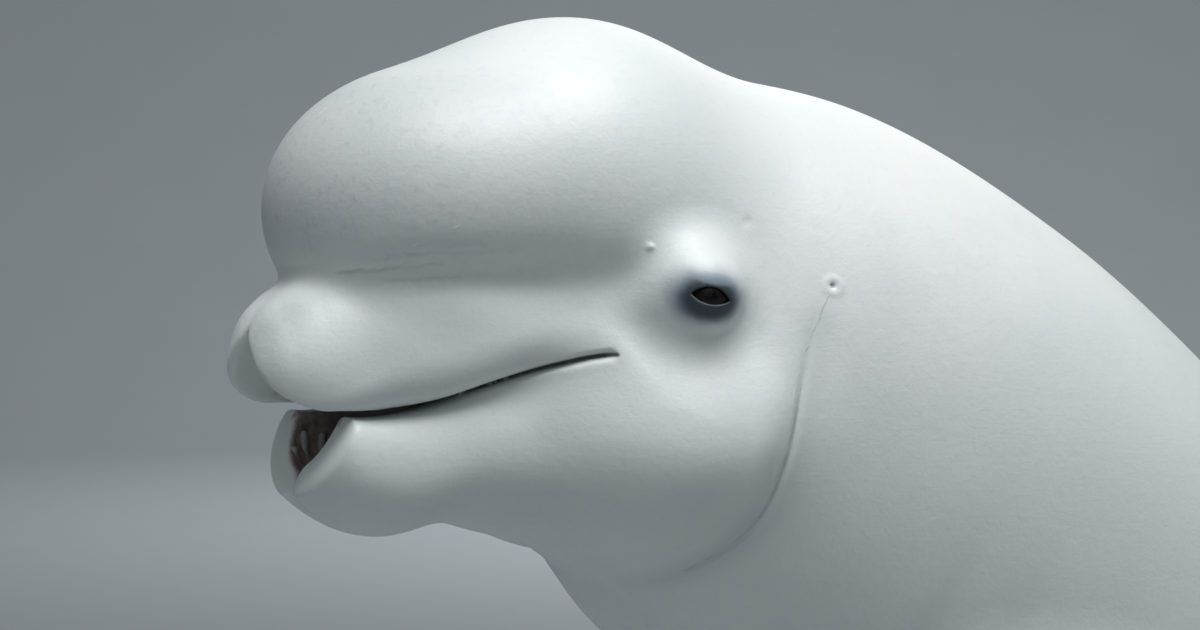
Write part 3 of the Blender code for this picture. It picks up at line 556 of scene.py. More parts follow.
# one point in each cell that the skin crosses, and the quads that join them. The first line
# of x lies left of the middle, so that the cells beside it can be swapped for mirrored ones.
def surfaceNet(lines, values):
    shape = tuple(n - 1 for n in values.shape)
    inside = values < 0.0
    offsets = [(i, j, k) for i in (0, 1) for j in (0, 1) for k in (0, 1)]
    count = np.zeros(shape, dtype=np.int8)
    for i, j, k in offsets:
        count += inside[i:i + shape[0], j:j + shape[1], k:k + shape[2]]
    cells = np.argwhere((count > 0) & (count < 8))
    number = -np.ones(shape, dtype=np.int32)
    number[tuple(cells.T)] = np.arange(len(cells))
    total = np.zeros((len(cells), 3))
    crossings = np.zeros(len(cells))
    for axis in range(3):
        for start in offsets:
            if start[axis]:
                continue
            end = list(start)
            end[axis] = 1
            low = cells + np.array(start)
            high = cells + np.array(end)
            v0 = values[tuple(low.T)].astype(float)
            v1 = values[tuple(high.T)].astype(float)
            crossed = (v0 < 0.0) != (v1 < 0.0)
            share = np.where(crossed, v0 / np.where(crossed, v0 - v1, 1.0), 0.0)
            for a in range(3):
                p0 = lines[a][low[:, a]]
                p1 = lines[a][high[:, a]]
                total[:, a] += np.where(crossed, p0 + share * (p1 - p0), 0.0)
            crossings += crossed
    points = total / crossings[:, None]
    quads = []
    for axis in range(3):
        b = (axis + 1) % 3
        c = (axis + 2) % 3
        near = [slice(None)] * 3
        far = [slice(None)] * 3
        near[axis] = slice(0, -1)
        far[axis] = slice(1, None)
        change = inside[tuple(near)].astype(np.int8) - inside[tuple(far)].astype(np.int8)
        for way in (1, -1):
            edges = np.argwhere(change == way)
            edges = edges[(edges[:, b] > 0) & (edges[:, c] > 0)]
            edges = edges[(edges[:, b] < shape[b]) & (edges[:, c] < shape[c])]
            ring = []
            for db, dc in ((1, 1), (0, 1), (0, 0), (1, 0)):
                cell = edges.copy()
                cell[:, b] -= db
                cell[:, c] -= dc
                ring.append(number[tuple(cell.T)])
            quad = np.stack(ring, axis=1)
            quads.append(quad if way > 0 else quad[:, ::-1])
    return points, np.concatenate(quads), cells


# whole mesh from the half at positive x, mirrored point for point
def mirroredNet(lines, values):
    points, quads, cells = surfaceNet(lines, values)
    left = cells[:, 0] > 0
    order = np.cumsum(left) - 1
    count = int(left.sum())
    column = cells[:, 0][quads]
    own = quads[(column > 0).all(axis=1)]
    across = quads[(column > 0).any(axis=1) & (column == 0).any(axis=1)]
    twin = np.full(len(points), -1)
    where = {tuple(c): i for i, c in enumerate(cells.tolist()) if c[0] == 1}
    for i in np.nonzero(cells[:, 0] == 0)[0]:
        twin[i] = where[(1, cells[i, 1], cells[i, 2])]
    bridge = np.where(cells[:, 0][across] > 0, order[across], order[twin[across]] + count)
    own = order[own]
    half = points[left]
    whole = np.concatenate([half, half * (-1.0, 1.0, 1.0)])
    return whole, np.concatenate([own, own[:, ::-1] + count, bridge])


def settle(points, rounds=3, reach=0.004):
    small = 0.0004
    for _ in range(rounds):
        for start in range(0, len(points), 200000):
            part = points[start:start + 200000]
            x, y, z = part.T
            d = skinField(x, y, z)
            slope = np.stack([skinField(x + small, y, z) - d, skinField(x, y + small, z) - d,
                              skinField(x, y, z + small) - d], axis=1) / small
            length = np.maximum((slope ** 2).sum(axis=1), 0.25)
            points[start:start + 200000] = part - np.clip(d / length, -reach, reach)[:, None] * slope
    return points


def relax(points, edges, strength):
    total = np.zeros_like(points)
    for a in range(3):
        total[:, a] = (np.bincount(edges[:, 0], points[edges[:, 1], a], len(points))
                       + np.bincount(edges[:, 1], points[edges[:, 0], a], len(points)))
    count = np.bincount(edges.ravel(), minlength=len(points))
    return points + (total / np.maximum(count, 1)[:, None] - points) * strength


def meshEdges(mesh):
    edges = np.empty(len(mesh.edges) * 2, dtype=np.int32)
    mesh.edges.foreach_get("vertices", edges)
    return edges.reshape(-1, 2)


def meshPoints(mesh):
    places = np.empty(len(mesh.vertices) * 3)
    mesh.vertices.foreach_get("co", places)
    return places.reshape(-1, 3)


def newObject(name, mesh):
    thing = bpy.data.objects.new(name, mesh)
    bpy.context.scene.collection.objects.link(thing)
    return thing


# points of the head where folds are finer than the grid: those whose faces are halved once, and twice
def fineRegions(points):
    x, y, z = np.abs(points[:, 0]), points[:, 1], points[:, 2]
    eyeDistance = np.sqrt((x - eyeCentre[0]) ** 2 + (y - eyeCentre[1]) ** 2 + (z - eyeCentre[2]) ** 2)
    line = curveThrough(mouth["line"], y)
    mouthZone = (y < 0.22) & (np.abs(z - line) < 0.010)
    mouthZone |= (y < 0.07) & (z < -0.005) & (z > -0.15)
    lineZone = (y < 0.212) & (np.abs(z - line) < 0.0045)
    foldZone = (np.abs(y - curveThrough(jaw["fold"], z)) < 0.008) & (z > -0.20) & (z < 0.01)
    blowhole = (x < 0.030) & (np.abs(y - marks["blowhole"]) < 0.016) & (z > 0.12)
    creaseZone = (y > 0.035) & (y < 0.135) & (z > 0.015) & (z < 0.052) & (x > 0.04)
    ear = distanceTo(y, z, marks["ear"]) < 0.014
    small = ear | blowhole | (distanceTo(y, z, marks["pimple"]) < 0.008)
    return [mouthZone | foldZone | creaseZone | small | (eyeDistance < 0.036),
            lineZone | small | (eyeDistance < 0.028)]


def refine(mesh, chosen):
    shape = bmesh.new()
    shape.from_mesh(mesh)
    shape.verts.ensure_lookup_table()
    edges = [e for e in shape.edges if chosen[e.verts[0].index] and chosen[e.verts[1].index]]
    bmesh.ops.subdivide_edges(shape, edges=edges, cuts=1, use_grid_fill=True)
    shape.to_mesh(mesh)
    shape.free()


def makeSkin():
    spans = {axis: [(a, b, step * fineness) for a, b, step in grid[axis]] for axis in grid}
    xs, ys, zs = (gradedLines(spans[axis]) for axis in ("x", "y", "z"))
    values = clearTouchingCorners(sampleSkin(xs, ys, zs))
    values = np.concatenate([values[1:2], values])
    xs = np.concatenate([-xs[1:2], xs])
    points, quads = mirroredNet((xs, ys, zs), values)
    del values
    mesh = bpy.data.meshes.new("skin")
    mesh.from_pydata(points.tolist(), [], quads.tolist())
    mesh.update()
    edges = meshEdges(mesh)
    points = settle(points, 2)
    for _ in range(2):
        points = settle(relax(points, edges, 0.5), 1)
    mesh.vertices.foreach_set("co", points.ravel())
    print("skin meshed with", len(quads), "faces")
    for level in range(2):
        refine(mesh, fineRegions(meshPoints(mesh))[level])
        points = meshPoints(mesh)
        points = settle(relax(points, meshEdges(mesh), 0.3), 2, 0.002)
        mesh.vertices.foreach_set("co", points.ravel())
    mesh.update()
    print("skin refined to", len(mesh.polygons), "faces")
    return mesh


skinMesh = makeSkin()
skinPoints = meshPoints(skinMesh)
skinMesh.vertices.foreach_set("co", (skinPoints + snoutPlace).ravel())
skinMesh.shade_smooth()
skin = newObject("skin", skinMesh)

flesh = [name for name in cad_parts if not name.startswith(("stand_", "eye_"))]
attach(skin, "root")
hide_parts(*flesh)


# measures that the skin's material turns into colours, kept as numbers at the mesh's points
def storeMeasures(mesh, points):
    x, y, z = np.abs(points[:, 0]), points[:, 1], points[:, 2]
    line = curveThrough(mouth["line"], y)
    beyond = np.maximum(y - mouth["grooveEnd"][1] + 0.002, 0.0)
    before = np.maximum(0.045 - y, 0.0)
    _, ahead, above = eyeOffsets(x, y, z)
    roof = np.maximum(np.abs(z - line - 0.004) - 0.011, x - 0.046)
    roof = np.maximum(roof, np.maximum(0.038 - y, y - 0.15))
    floor = np.maximum(ellipsoid(x, y, z, *mouth["floor"]) - 0.0015, 0.026 - y)
    folds = np.abs(y - curveThrough(jaw["fold"], z))
    folds = folds + 0.0022 * ease(-0.075, -0.010, z)
    folds = np.sqrt(folds ** 2 + np.maximum(z + 0.010, 0.0) ** 2 + np.maximum(-0.178 - z, 0.0) ** 2)
    ear = distanceTo(y, z, marks["ear"])
    hole = np.sqrt(blowholeSquare(x, y) + np.minimum(z - 0.1, 0.0) ** 2)
    melonGrey = (1.0 - ease(0.05, 0.20, y)) * ease(0.020, 0.075, z) * (1.0 - ease(0.150, 0.175, z) * 0.4)
    lipGrey = np.exp(-((x - 0.045) ** 2 + (y - 0.017) ** 2 + (z - 0.001) ** 2) / 0.016 ** 2)
    far = 1.0
    values = {
        "mouthAway": np.sqrt((z - line) ** 2 + beyond ** 2 + before ** 2),
        "eyeAhead": ahead,
        "eyeAbove": above + np.where(x < 0.10, far, 0.0),
        "innerMouth": np.minimum(roof, floor),
        "foldAway": folds + np.where(x < 0.05, far, 0.0),
        "pitAway": np.minimum(ear + np.where(x < 0.10, far, 0.0), hole),
        "greyShare": np.clip(melonGrey + 0.8 * lipGrey, 0.0, 1.0),
    }
    for name, value in values.items():
        slot = mesh.attributes.new(name, "FLOAT", "POINT")
        slot.data.foreach_set("value", np.minimum(value, far).astype(np.float32))


storeMeasures(skinMesh, skinPoints)
print("skin measures stored")


def addNode(tree, kind, **settings):
    node = tree.nodes.new(kind)
    for name, value in settings.items():
        setattr(node, name, value)
    return node


def join(tree, source, target):
    tree.links.new(source, target)


def feed(tree, value, target):
    if isinstance(value, bpy.types.NodeSocket):
        tree.links.new(value, target)
    else:
        target.default_value = value


def calculate(tree, operation, *values, clamp=False):
    node = addNode(tree, "ShaderNodeMath", operation=operation, use_clamp=clamp)
    for value, target in zip(values, node.inputs):
        feed(tree, value, target)
    return node.outputs[0]


# 0 below low and 1 above high, or the other way round when low is the larger
def ramp(tree, value, low, high, top=1.0):
    node = addNode(tree, "ShaderNodeMapRange", interpolation_type="SMOOTHSTEP")
    feed(tree, value, node.inputs["Value"])
    swapped = low > high
    node.inputs["From Min"].default_value = min(low, high)
    node.inputs["From Max"].default_value = max(low, high)
    node.inputs["To Min"].default_value = top if swapped else 0.0
    node.inputs["To Max"].default_value = 0.0 if swapped else top
    return node.outputs[0]


def measure(tree, name):
    return addNode(tree, "ShaderNodeAttribute", attribute_name=name).outputs["Fac"]


def noise(tree, place, scale, detail=4.0, roughness=0.55, distortion=0.0):
    node = addNode(tree, "ShaderNodeTexNoise")
    join(tree, place, node.inputs["Vector"])
    node.inputs["Scale"].default_value = scale
    node.inputs["Detail"].default_value = detail
    node.inputs["Roughness"].default_value = roughness
    node.inputs["Distortion"].default_value = distortion
    return node.outputs["Fac"]


def blendColour(tree, share, first, second, mode="MIX"):
    node = addNode(tree, "ShaderNodeMix", data_type="RGBA", blend_type=mode)
    feed(tree, share, node.inputs[0])
    for value, target in ((first, node.inputs[6]), (second, node.inputs[7])):
        if isinstance(value, bpy.types.NodeSocket):
            tree.links.new(value, target)
        else:
            target.default_value = (*value, 1.0)
    return node.outputs[2]


def stretched(tree, place, scale):
    node = addNode(tree, "ShaderNodeVectorMath", operation="MULTIPLY")
    join(tree, place, node.inputs[0])
    node.inputs[1].default_value = scale
    return node.outputs[0]


def bump(tree, height, strength, distance, normal=None):
    node = addNode(tree, "ShaderNodeBump")
    join(tree, height, node.inputs["Height"])
    node.inputs["Strength"].default_value = strength
    node.inputs["Distance"].default_value = distance
    if normal is not None:
        join(tree, normal, node.inputs["Normal"])
    return node.outputs["Normal"]


def setSurface(tree, shader, colour, roughness, normal):
    for name, value in (("Base Color", colour), ("Roughness", roughness), ("Normal", normal)):
        join(tree, value, shader.inputs[name])


# new material: its tree, its shader and coordinates fixed to the object
def newFinish(name):
    finish = bpy.data.materials.new(name)
    finish.use_nodes = True
    tree = finish.node_tree
    place = addNode(tree, "ShaderNodeTexCoord").outputs["Object"]
    return finish, tree, tree.nodes["Principled BSDF"], place


# group: 1 on a thin wavering line between two points, 0 away from it
def makeScratchGroup():
    group = bpy.data.node_groups.new("thinLine", "ShaderNodeTree")
    for name, kind in (("Place", "NodeSocketVector"), ("Start", "NodeSocketVector"),
                       ("End", "NodeSocketVector"), ("Half Width", "NodeSocketFloat")):
        group.interface.new_socket(name, in_out="INPUT", socket_type=kind)
    group.interface.new_socket("Mask", in_out="OUTPUT", socket_type="NodeSocketFloat")
    given = group.nodes.new("NodeGroupInput")
    result = group.nodes.new("NodeGroupOutput")

    def vector(operation, a, b=None, output=0, scale=None):
        node = addNode(group, "ShaderNodeVectorMath", operation=operation)
        join(group, a, node.inputs[0])
        if b is not None:
            join(group, b, node.inputs[1])
        if scale is not None:
            join(group, scale, node.inputs["Scale"])
        return node.outputs[output]

    along = vector("SUBTRACT", given.outputs["End"], given.outputs["Start"])
    offset = vector("SUBTRACT", given.outputs["Place"], given.outputs["Start"])
    reach = vector("DOT_PRODUCT", offset, along, output=1)
    length = vector("DOT_PRODUCT", along, along, output=1)
    share = calculate(group, "DIVIDE", reach, length, clamp=True)
    nearest = vector("SCALE", along, scale=share)
    away = vector("LENGTH", vector("SUBTRACT", offset, nearest), output=1)
    steps = calculate(group, "DIVIDE", away, given.outputs["Half Width"])
    join(group, ramp(group, steps, 1.0, 0.2), result.inputs["Mask"])
    return group


thinLine = makeScratchGroup()

skinLook = {
    "white": (0.760, 0.785, 0.770),
    # duller white: random tone, and also painted shade beside the mouth line
    "shade": (0.640, 0.685, 0.680),
    "grey": (0.380, 0.410, 0.435),
    "darkSkinAndShade": (0.022, 0.032, 0.044),
    "slateSkinAndShade": (0.130, 0.195, 0.260),
    # painted shadow in the mouth line, the ear pits and the blowhole
    "line": (0.035, 0.040, 0.040),
    "lining": (0.520, 0.390, 0.370),
    "liningPatchAndDeepShade": (0.210, 0.160, 0.165),
    "orange": (0.560, 0.300, 0.190),
    "eyeBagAndShade": (0.26, 0.33, 0.40),
    "foldPaintedShade": (0.42, 0.47, 0.48),
    "foldPaintedShadow": (0.16, 0.18, 0.18),
    "paleScratch": (0.93, 0.93, 0.90),
    "darkScratch": (0.30, 0.33, 0.33),
    # thin scratches: start and end in the snout's frame, half width, strength (dark ones below 0)
    "scratches": [
        ((0.0113, 0.0521, 0.1448), (0.0613, 0.0990, 0.1591), 0.0009, 0.55),
        ((0.0197, 0.0425, 0.1338), (0.0228, 0.0520, 0.1429), 0.0011, 0.45),
        ((0.0246, 0.0211, 0.0847), (0.0179, 0.0199, 0.0637), 0.0008, 0.60),
        ((0.0346, 0.0251, 0.0537), (0.0715, 0.0542, 0.0320), 0.0008, 0.60),
        ((0.1005, 0.0783, 0.0445), (0.1191, 0.1022, 0.0571), 0.0010, 0.50),
        ((0.0942, 0.0860, 0.0332), (0.1012, 0.1185, 0.0256), 0.0007, 0.45),
        ((0.1114, 0.1354, -0.0098), (0.1040, 0.1180, 0.0050), 0.0006, 0.35),
        ((0.1871, 0.3279, -0.0236), (0.1880, 0.3458, 0.0129), 0.0011, -0.35),
    ],
    "roughness": (0.40, 0.56),
}


def makeSkinFinish():
    finish, tree, shader, place = newFinish("belugaSkin")
    broad = noise(tree, place, 2.6, 3.0)
    middle = noise(tree, place, 17.0, 5.0, 0.6)
    mottle = noise(tree, place, 130.0, 6.0, 0.65, 0.3)
    grain = noise(tree, place, 520.0, 3.0, 0.6)
    colour = blendColour(tree, ramp(tree, broad, 0.35, 0.70), skinLook["white"], skinLook["shade"])
    colour = blendColour(tree, ramp(tree, middle, 0.42, 0.78, 0.40), colour, skinLook["shade"])
    speck = ramp(tree, mottle, 0.50, 0.74)
    colour = blendColour(tree, calculate(tree, "MULTIPLY", speck, 0.08), colour, skinLook["grey"])
    greyShare = measure(tree, "greyShare")
    mixedGrey = calculate(tree, "MULTIPLY_ADD", speck, 0.22, 0.50)
    colour = blendColour(tree, calculate(tree, "MULTIPLY", greyShare, mixedGrey), colour, skinLook["grey"])
    # scratches, wavering a little
    waver = addNode(tree, "ShaderNodeTexNoise")
    join(tree, place, waver.inputs["Vector"])
    waver.inputs["Scale"].default_value = 90.0
    shift = addNode(tree, "ShaderNodeVectorMath", operation="MULTIPLY_ADD")
    join(tree, waver.outputs["Color"], shift.inputs[0])
    shift.inputs[1].default_value = (0.0030, 0.0030, 0.0030)
    offset = addNode(tree, "ShaderNodeVectorMath", operation="SUBTRACT")
    join(tree, place, shift.inputs[2])
    join(tree, shift.outputs[0], offset.inputs[0])
    offset.inputs[1].default_value = (0.0015, 0.0015, 0.0015)
    scratchHeight = None
    for start, end, halfWidth, strength in skinLook["scratches"]:
        line = tree.nodes.new("ShaderNodeGroup")
        line.node_tree = thinLine
        join(tree, offset.outputs[0], line.inputs["Place"])
        line.inputs["Start"].default_value = np.array(start) + snoutPlace
        line.inputs["End"].default_value = np.array(end) + snoutPlace
        line.inputs["Half Width"].default_value = halfWidth
        mask = calculate(tree, "MULTIPLY", line.outputs["Mask"], ramp(tree, mottle, 0.30, 0.55))
        target = skinLook["paleScratch" if strength > 0.0 else "darkScratch"]
        colour = blendColour(tree, calculate(tree, "MULTIPLY", mask, abs(strength)), colour, target)
        scratchHeight = mask if scratchHeight is None else calculate(tree, "ADD", scratchHeight, mask)
    # slate and dark skin round the eye, with a paler bag below, each partly pigment and partly painted shade
    ahead = measure(tree, "eyeAhead")
    above = measure(tree, "eyeAbove")
    edge = calculate(tree, "MULTIPLY", calculate(tree, "SUBTRACT", middle, 0.5), 0.5)

    def oval(halfLength, halfHeight, up, forward=0.0):
        a = calculate(tree, "DIVIDE", calculate(tree, "SUBTRACT", ahead, forward), halfLength)
        b = calculate(tree, "DIVIDE", calculate(tree, "SUBTRACT", above, up), halfHeight)
        square = calculate(tree, "ADD", calculate(tree, "MULTIPLY", a, a), calculate(tree, "MULTIPLY", b, b))
        return calculate(tree, "ADD", calculate(tree, "SQRT", square), edge)

    slateSkinAndShade = ramp(tree, oval(0.0350, 0.0240, 0.000, 0.002), 1.05, 0.40, 0.82)
    colour = blendColour(tree, slateSkinAndShade, colour, skinLook["slateSkinAndShade"])
    darkSkinAndShade = ramp(tree, oval(0.0225, 0.0165, 0.001), 1.15, 0.62, 0.95)
    colour = blendColour(tree, darkSkinAndShade, colour, skinLook["darkSkinAndShade"])
    bagAndShade = ramp(tree, oval(0.0220, 0.0050, -0.0125, 0.001), 1.0, 0.45, 0.50)
    colour = blendColour(tree, bagAndShade, colour, skinLook["eyeBagAndShade"])
    # lining of the open mouth, darker in patches, with painted shade further in
    inner = measure(tree, "innerMouth")
    lining = ramp(tree, calculate(tree, "MULTIPLY_ADD", middle, 0.004, inner), 0.0050, 0.0005)
    patches = ramp(tree, mottle, 0.35, 0.68)
    liningColour = blendColour(tree, patches, skinLook["lining"], skinLook["liningPatchAndDeepShade"])
    liningColour = blendColour(tree, ramp(tree, middle, 0.56, 0.70, 0.7), liningColour, skinLook["orange"])
    split = addNode(tree, "ShaderNodeSeparateXYZ")
    join(tree, place, split.inputs[0])
    snoutY = float(snoutPlace[1])
    # painted shade: the lining darkens further back inside the mouth
    deepShade = ramp(tree, split.outputs["Y"], snoutY + 0.055, snoutY + 0.100, 0.90)
    liningColour = blendColour(tree, deepShade, liningColour, skinLook["liningPatchAndDeepShade"])
    colour = blendColour(tree, lining, colour, liningColour)
    # painted shadow and painted shade along the mouth line, at the fold behind the jaw, and in the ear and
    # blowhole
    away = measure(tree, "mouthAway")
    # painted shadow along the groove of the mouth line, with a wider band of painted shade beside it
    line = ramp(tree, away, 0.0023, 0.0006, 0.92)
    colour = blendColour(tree, ramp(tree, away, 0.0090, 0.0010, 0.30), colour, skinLook["shade"])
    colour = blendColour(tree, line, colour, skinLook["line"])
    # painted shade in a band along the fold behind the jaw, and a broken line of painted shadow in the fold
    # itself
    fold = measure(tree, "foldAway")
    foldBreak = ramp(tree, middle, 0.30, 0.60, 0.50)
    foldShadowMask = calculate(tree, "MULTIPLY", ramp(tree, fold, 0.0019, 0.0003), foldBreak)
    colour = blendColour(tree, ramp(tree, fold, 0.0260, 0.0010, 0.30), colour, skinLook["foldPaintedShade"])
    colour = blendColour(tree, foldShadowMask, colour, skinLook["foldPaintedShadow"])
    # painted shadow inside the ear pits and the blowhole slit
    pitShadow = ramp(tree, measure(tree, "pitAway"), 0.0021, 0.0006, 0.80)
    colour = blendColour(tree, pitShadow, colour, skinLook["line"])
    low, high = skinLook["roughness"]
    rough = calculate(tree, "MULTIPLY_ADD", middle, high - low, low - 0.02)
    rough = calculate(tree, "MULTIPLY_ADD", mottle, 0.10, rough)
    rough = calculate(tree, "MULTIPLY_ADD", lining, -0.16, rough)
    shader.inputs["Coat Weight"].default_value = 0.12
    shader.inputs["Coat Roughness"].default_value = 0.28
    shader.inputs["Subsurface Weight"].default_value = 0.06
    shader.inputs["Subsurface Radius"].default_value = (0.012, 0.010, 0.008)
    normal = bump(tree, grain, 0.10, 0.0006)
    normal = bump(tree, mottle, 0.16, 0.0022, normal)
    creases = noise(tree, stretched(tree, place, (26.0, 16.0, 150.0)), 1.0, 5.0, 0.6, 0.8)
    normal = bump(tree, creases, 0.045, 0.0030, normal)
    normal = bump(tree, scratchHeight, 0.35, 0.0006, normal)
    setSurface(tree, shader, colour, rough, normal)
    return finish


skinMesh.materials.append(makeSkinFinish())
print("skin finished")


eyeLook = {
    "segments": 64,
    "rings": 48,
    "corneaHeight": 0.0012,
    "corneaAngle": 0.62,
    "pupil": 0.20,
    "iris": 0.46,
    "whiteColours": ((0.020, 0.020, 0.023), (0.008, 0.008, 0.010)),
    "irisColours": ((0.018, 0.012, 0.009), (0.005, 0.004, 0.004)),
    "pupilColour": (0.002, 0.002, 0.003),
}


# eyeball with a clear bulge in front, and the angle of each point from its gaze
def makeEye(name, side):
    shape = bmesh.new()
    bmesh.ops.create_uvsphere(shape, u_segments=eyeLook["segments"], v_segments=eyeLook["rings"],
                              radius=eye["radius"])
    facing = Vector(eyeFacing * (side, 1.0, 1.0))
    turn = Vector((0.0, 0.0, 1.0)).rotation_difference(facing)
    middle = Vector(eyeCentre * (side, 1.0, 1.0) + snoutPlace)
    angles = []
    for vertex in shape.verts:
        direction = vertex.co.normalized()
        angle = math.acos(max(-1.0, min(1.0, direction.z)))
        angles.append(angle)
        bulge = float(1.0 - ease(0.25, eyeLook["corneaAngle"], angle)) * eyeLook["corneaHeight"]
        vertex.co = turn @ (direction * (eye["radius"] + bulge)) + middle
    mesh = bpy.data.meshes.new(name)
    shape.to_mesh(mesh)
    shape.free()
    slot = mesh.attributes.new("gazeAngle", "FLOAT", "POINT")
    slot.data.foreach_set("value", np.array(angles, dtype=np.float32))
    mesh.shade_smooth()
    return newObject(name, mesh)


def makeEyeFinish():
    finish, tree, shader, place = newFinish("eyeDark")
    angle = measure(tree, "gazeAngle")
    streaks = noise(tree, place, 900.0, 4.0, 0.6, 0.6)
    cloud = noise(tree, place, 160.0, 3.0)
    white = blendColour(tree, cloud, *eyeLook["whiteColours"])
    iris = blendColour(tree, streaks, *eyeLook["irisColours"])
    inIris = ramp(tree, angle, eyeLook["iris"] + 0.05, eyeLook["iris"] - 0.03)
    inPupil = ramp(tree, angle, eyeLook["pupil"] + 0.03, eyeLook["pupil"] - 0.02)
    colour = blendColour(tree, inIris, white, iris)
    colour = blendColour(tree, inPupil, colour, eyeLook["pupilColour"])
    rough = calculate(tree, "MULTIPLY_ADD", cloud, 0.06, 0.05)
    shader.inputs["Coat Weight"].default_value = 0.10
    shader.inputs["Coat Roughness"].default_value = 0.03
    shader.inputs["Specular IOR Level"].default_value = 0.22
    setSurface(tree, shader, colour, rough, bump(tree, cloud, 0.03, 0.0004))
    return finish


eyeFinish = makeEyeFinish()
for name, side in (("eye_left", 1.0), ("eye_right", -1.0)):
    ball = makeEye(name + "_ball", side)
    ball.data.materials.append(eyeFinish)
    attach(ball, "root")
    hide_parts(name)
print("eyes made")


tooth = {
    # distance from the middle, distance behind the snout, length
    "row": [(0.026, 0.045, 0.022), (0.034, 0.054, 0.032), (0.037, 0.067, 0.030)],
    "root": -0.114,
    "radii": (0.0042, 0.0026),
    "sides": 20,
    "colours": ((0.48, 0.50, 0.52), (0.34, 0.33, 0.28)),
}


# blunt pegs in two short rows, closed below inside the jaw
def makeTeeth():
    low, high = tooth["radii"]
    profile = [(low, 0.0), (low, 0.35)]
    for t in np.linspace(0.5, 1.0, 4)[:-1]:
        profile.append((low + (high - low) * t, t * 0.90))
    for turn in np.linspace(0.0, math.pi / 2.0, 6)[:-1]:
        profile.append((high * math.cos(turn), 1.0 - 0.09 * (1.0 - math.sin(turn))))
    points = []
    faces = []
    sides = tooth["sides"]
    for side in (-1.0, 1.0):
        for k, (x, y, length) in enumerate(tooth["row"]):
            first = len(points)
            lean = 0.06 * (k - 1)
            for radius, share in profile:
                height = share * length
                points += [(side * (x + radius * math.cos(2.0 * math.pi * n / sides) + 0.05 * height),
                            y + radius * math.sin(2.0 * math.pi * n / sides) + lean * height,
                            tooth["root"] + height) for n in range(sides)]
            points.append((side * (x + 0.05 * length), y + lean * length, tooth["root"] + length))
            ways = [(a, b) for a in range(len(profile) - 1) for b in range(sides)]
            for a, b in ways:
                ring = first + a * sides
                quad = (ring + b, ring + (b + 1) % sides, ring + sides + (b + 1) % sides, ring + sides + b)
                faces.append(quad if side > 0 else quad[::-1])
            last = first + (len(profile) - 1) * sides
            tip = len(points) - 1
            caps = [(last + b, last + (b + 1) % sides, tip) for b in range(sides)]
            caps.append(tuple(first + b for b in reversed(range(sides))))
            faces += caps if side > 0 else [cap[::-1] for cap in caps]
    mesh = bpy.data.meshes.new("teeth")
    mesh.from_pydata((np.array(points) + snoutPlace).tolist(), [], faces)
    mesh.shade_smooth()
    return newObject("teeth", mesh)


def makeToothFinish():
    finish, tree, shader, place = newFinish("toothIvory")
    cloud = noise(tree, place, 240.0, 4.0)
    fine = noise(tree, place, 1400.0, 3.0)
    colour = blendColour(tree, cloud, *tooth["colours"])
    rough = calculate(tree, "MULTIPLY_ADD", cloud, 0.15, 0.22)
    setSurface(tree, shader, colour, rough, bump(tree, fine, 0.12, 0.0003))
    return finish


teeth = makeTeeth()
teeth.data.materials.append(makeToothFinish())
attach(teeth, "root")
print("teeth made")


standLook = {
    "basePaint": ((0.115, 0.125, 0.135), (0.150, 0.160, 0.168)),
    "baseStreaks": (0.095, 0.102, 0.110),
    "rodSteel": ((0.50, 0.51, 0.52), (0.62, 0.63, 0.64)),
}


def makeBaseFinish():
    finish, tree, shader, place = newFinish("basePaint")
    cloud = noise(tree, place, 3.5, 4.0)
    grain = noise(tree, stretched(tree, place, (60.0, 4.0, 60.0)), 1.0, 5.0, 0.6, 0.5)
    colour = blendColour(tree, cloud, *standLook["basePaint"])
    colour = blendColour(tree, ramp(tree, grain, 0.45, 0.75, 0.3), colour, standLook["baseStreaks"])
    rough = calculate(tree, "MULTIPLY_ADD", cloud, 0.16, 0.36)
    setSurface(tree, shader, colour, rough, bump(tree, grain, 0.12, 0.0008))
    return finish


def makeRodFinish():
    finish, tree, shader, place = newFinish("rodSteel")
    rings = noise(tree, stretched(tree, place, (25.0, 25.0, 900.0)), 1.0, 4.0, 0.6)
    cloud = noise(tree, place, 9.0, 3.0)
    colour = blendColour(tree, cloud, *standLook["rodSteel"])
    shader.inputs["Metallic"].default_value = 1.0
    rough = calculate(tree, "MULTIPLY_ADD", rings, 0.22, 0.20)
    setSurface(tree, shader, colour, rough, bump(tree, rings, 0.10, 0.0004))
    return finish


baseFinish = makeBaseFinish()
rodFinish = makeRodFinish()
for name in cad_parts:
    if name.startswith("stand_"):
        node = bpy.data.objects[name]
        node.material_slots[0].material = baseFinish if name == "stand_base" else rodFinish
print("stand finished")


studio = {
    "floorRadius": 16.0,
    "rimRadius": 26.0,
    "rimHeight": 12.0,
    "floorColour": (0.40, 0.43, 0.45),
    "floorSides": 96,
    "worldColour": (0.80, 0.86, 0.90),
    "worldStrength": 0.36,
    # name, place, what it points at, width, power
    "lights": [
        ("keyLight", (1.4, -1.9, 4.6), (0.0, -1.6, 1.2), 2.6, 135.0),
        ("fillLight", (4.6, -4.2, 2.6), (0.0, -1.5, 1.2), 4.0, 9.0),
        ("backLight", (-3.0, 2.0, 4.0), (0.0, -0.8, 1.2), 3.0, 20.0),
        ("backdropLight", (-6.0, 4.5, 8.0), (-19.0, 11.0, 1.0), 7.0, 900.0),
    ],
}


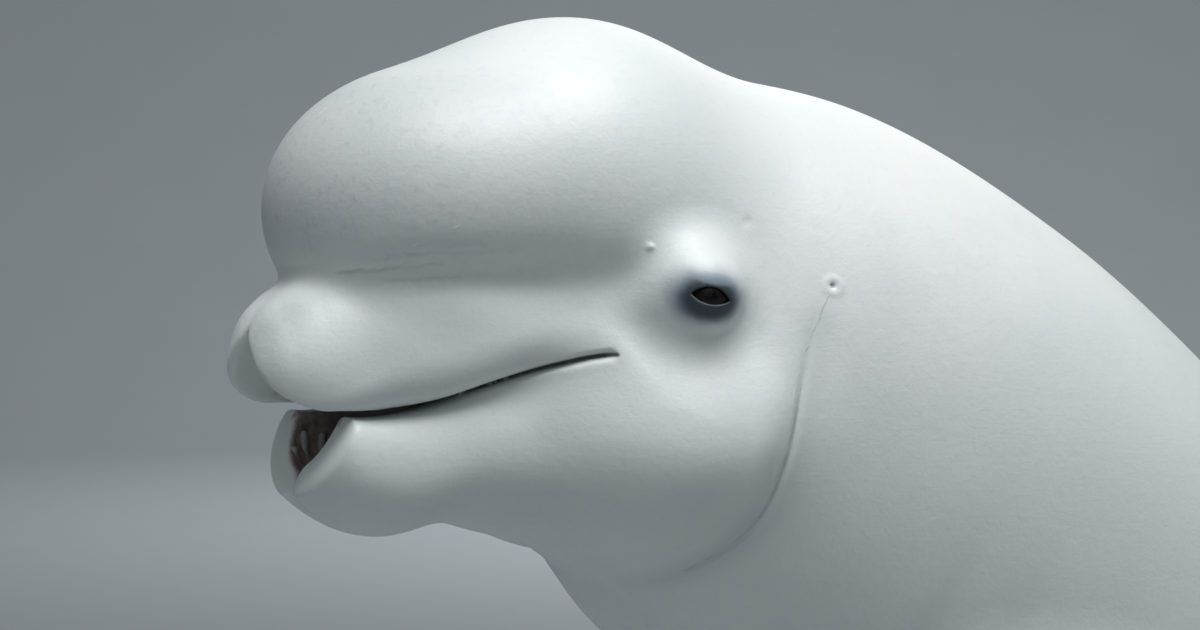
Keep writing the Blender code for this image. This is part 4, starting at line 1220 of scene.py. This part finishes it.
# round pale floor whose far rim curves up into a backdrop
def makeFloor():
    inner, rise = studio["floorRadius"], studio["rimRadius"] - studio["floorRadius"]
    profile = [(inner * t, 0.0) for t in np.linspace(0.0, 1.0, 9)]
    for turn in np.linspace(0.0, 1.0, 25)[1:] * math.pi / 2.0:
        profile.append((inner + rise * math.sin(turn), studio["rimHeight"] * (1.0 - math.cos(turn))))
    sides = studio["floorSides"]
    turns = [2.0 * math.pi * k / sides for k in range(sides)]
    points = [(0.0, 0.0, 0.0)]
    for radius, height in profile[1:]:
        points += [(radius * math.cos(turn), radius * math.sin(turn), height) for turn in turns]
    faces = [(0, 1 + k, 1 + (k + 1) % sides) for k in range(sides)]
    for r in range(len(profile) - 2):
        a = 1 + r * sides
        b = a + sides
        faces += [(a + k, b + k, b + (k + 1) % sides, a + (k + 1) % sides) for k in range(sides)]
    mesh = bpy.data.meshes.new("studioFloor")
    mesh.from_pydata(points, [], faces)
    mesh.shade_smooth()
    paint, tree, shader, place = newFinish("floorPaint")
    cloud = noise(tree, place, 0.8, 3.0)
    fine = noise(tree, place, 60.0, 4.0)
    darker = tuple(0.95 * c for c in studio["floorColour"])
    colour = blendColour(tree, cloud, studio["floorColour"], darker)
    rough = calculate(tree, "MULTIPLY_ADD", cloud, 0.12, 0.72)
    setSurface(tree, shader, colour, rough, bump(tree, fine, 0.05, 0.001))
    mesh.materials.append(paint)
    floor = newObject("studioFloor", mesh)


makeFloor()


def areaLight(name, place, target, size, power):
    data = bpy.data.lights.new(name, "AREA")
    data.shape = "DISK"
    data.size = size
    data.energy = power
    lamp = bpy.data.objects.new(name, data)
    bpy.context.scene.collection.objects.link(lamp)
    lamp.location = place
    lamp.rotation_euler = (Vector(target) - Vector(place)).to_track_quat("-Z", "Y").to_euler()


for light in studio["lights"]:
    areaLight(*light)

world = bpy.data.worlds.new("studio")
bpy.context.scene.world = world
world.use_nodes = True
background = world.node_tree.nodes["Background"]
background.inputs["Color"].default_value = (*studio["worldColour"], 1.0)
background.inputs["Strength"].default_value = studio["worldStrength"]
print("studio set")

view = {"place": (1.0912, -2.2635, 1.415), "looking": (-0.866, 0.5, 0.0), "lens": 50.0, "sensor": 36.0}
cameraData = bpy.data.cameras.new("camera")
cameraData.lens = view["lens"]
cameraData.sensor_width = view["sensor"]
cameraData.clip_start = 0.05
cameraData.clip_end = 200.0
camera = bpy.data.objects.new("camera", cameraData)
bpy.context.scene.collection.objects.link(camera)
camera.location = view["place"]
camera.rotation_euler = Vector(view["looking"]).to_track_quat("-Z", "Y").to_euler()
bpy.context.scene.camera = camera
bpy.context.scene.view_settings.view_transform = "Standard"
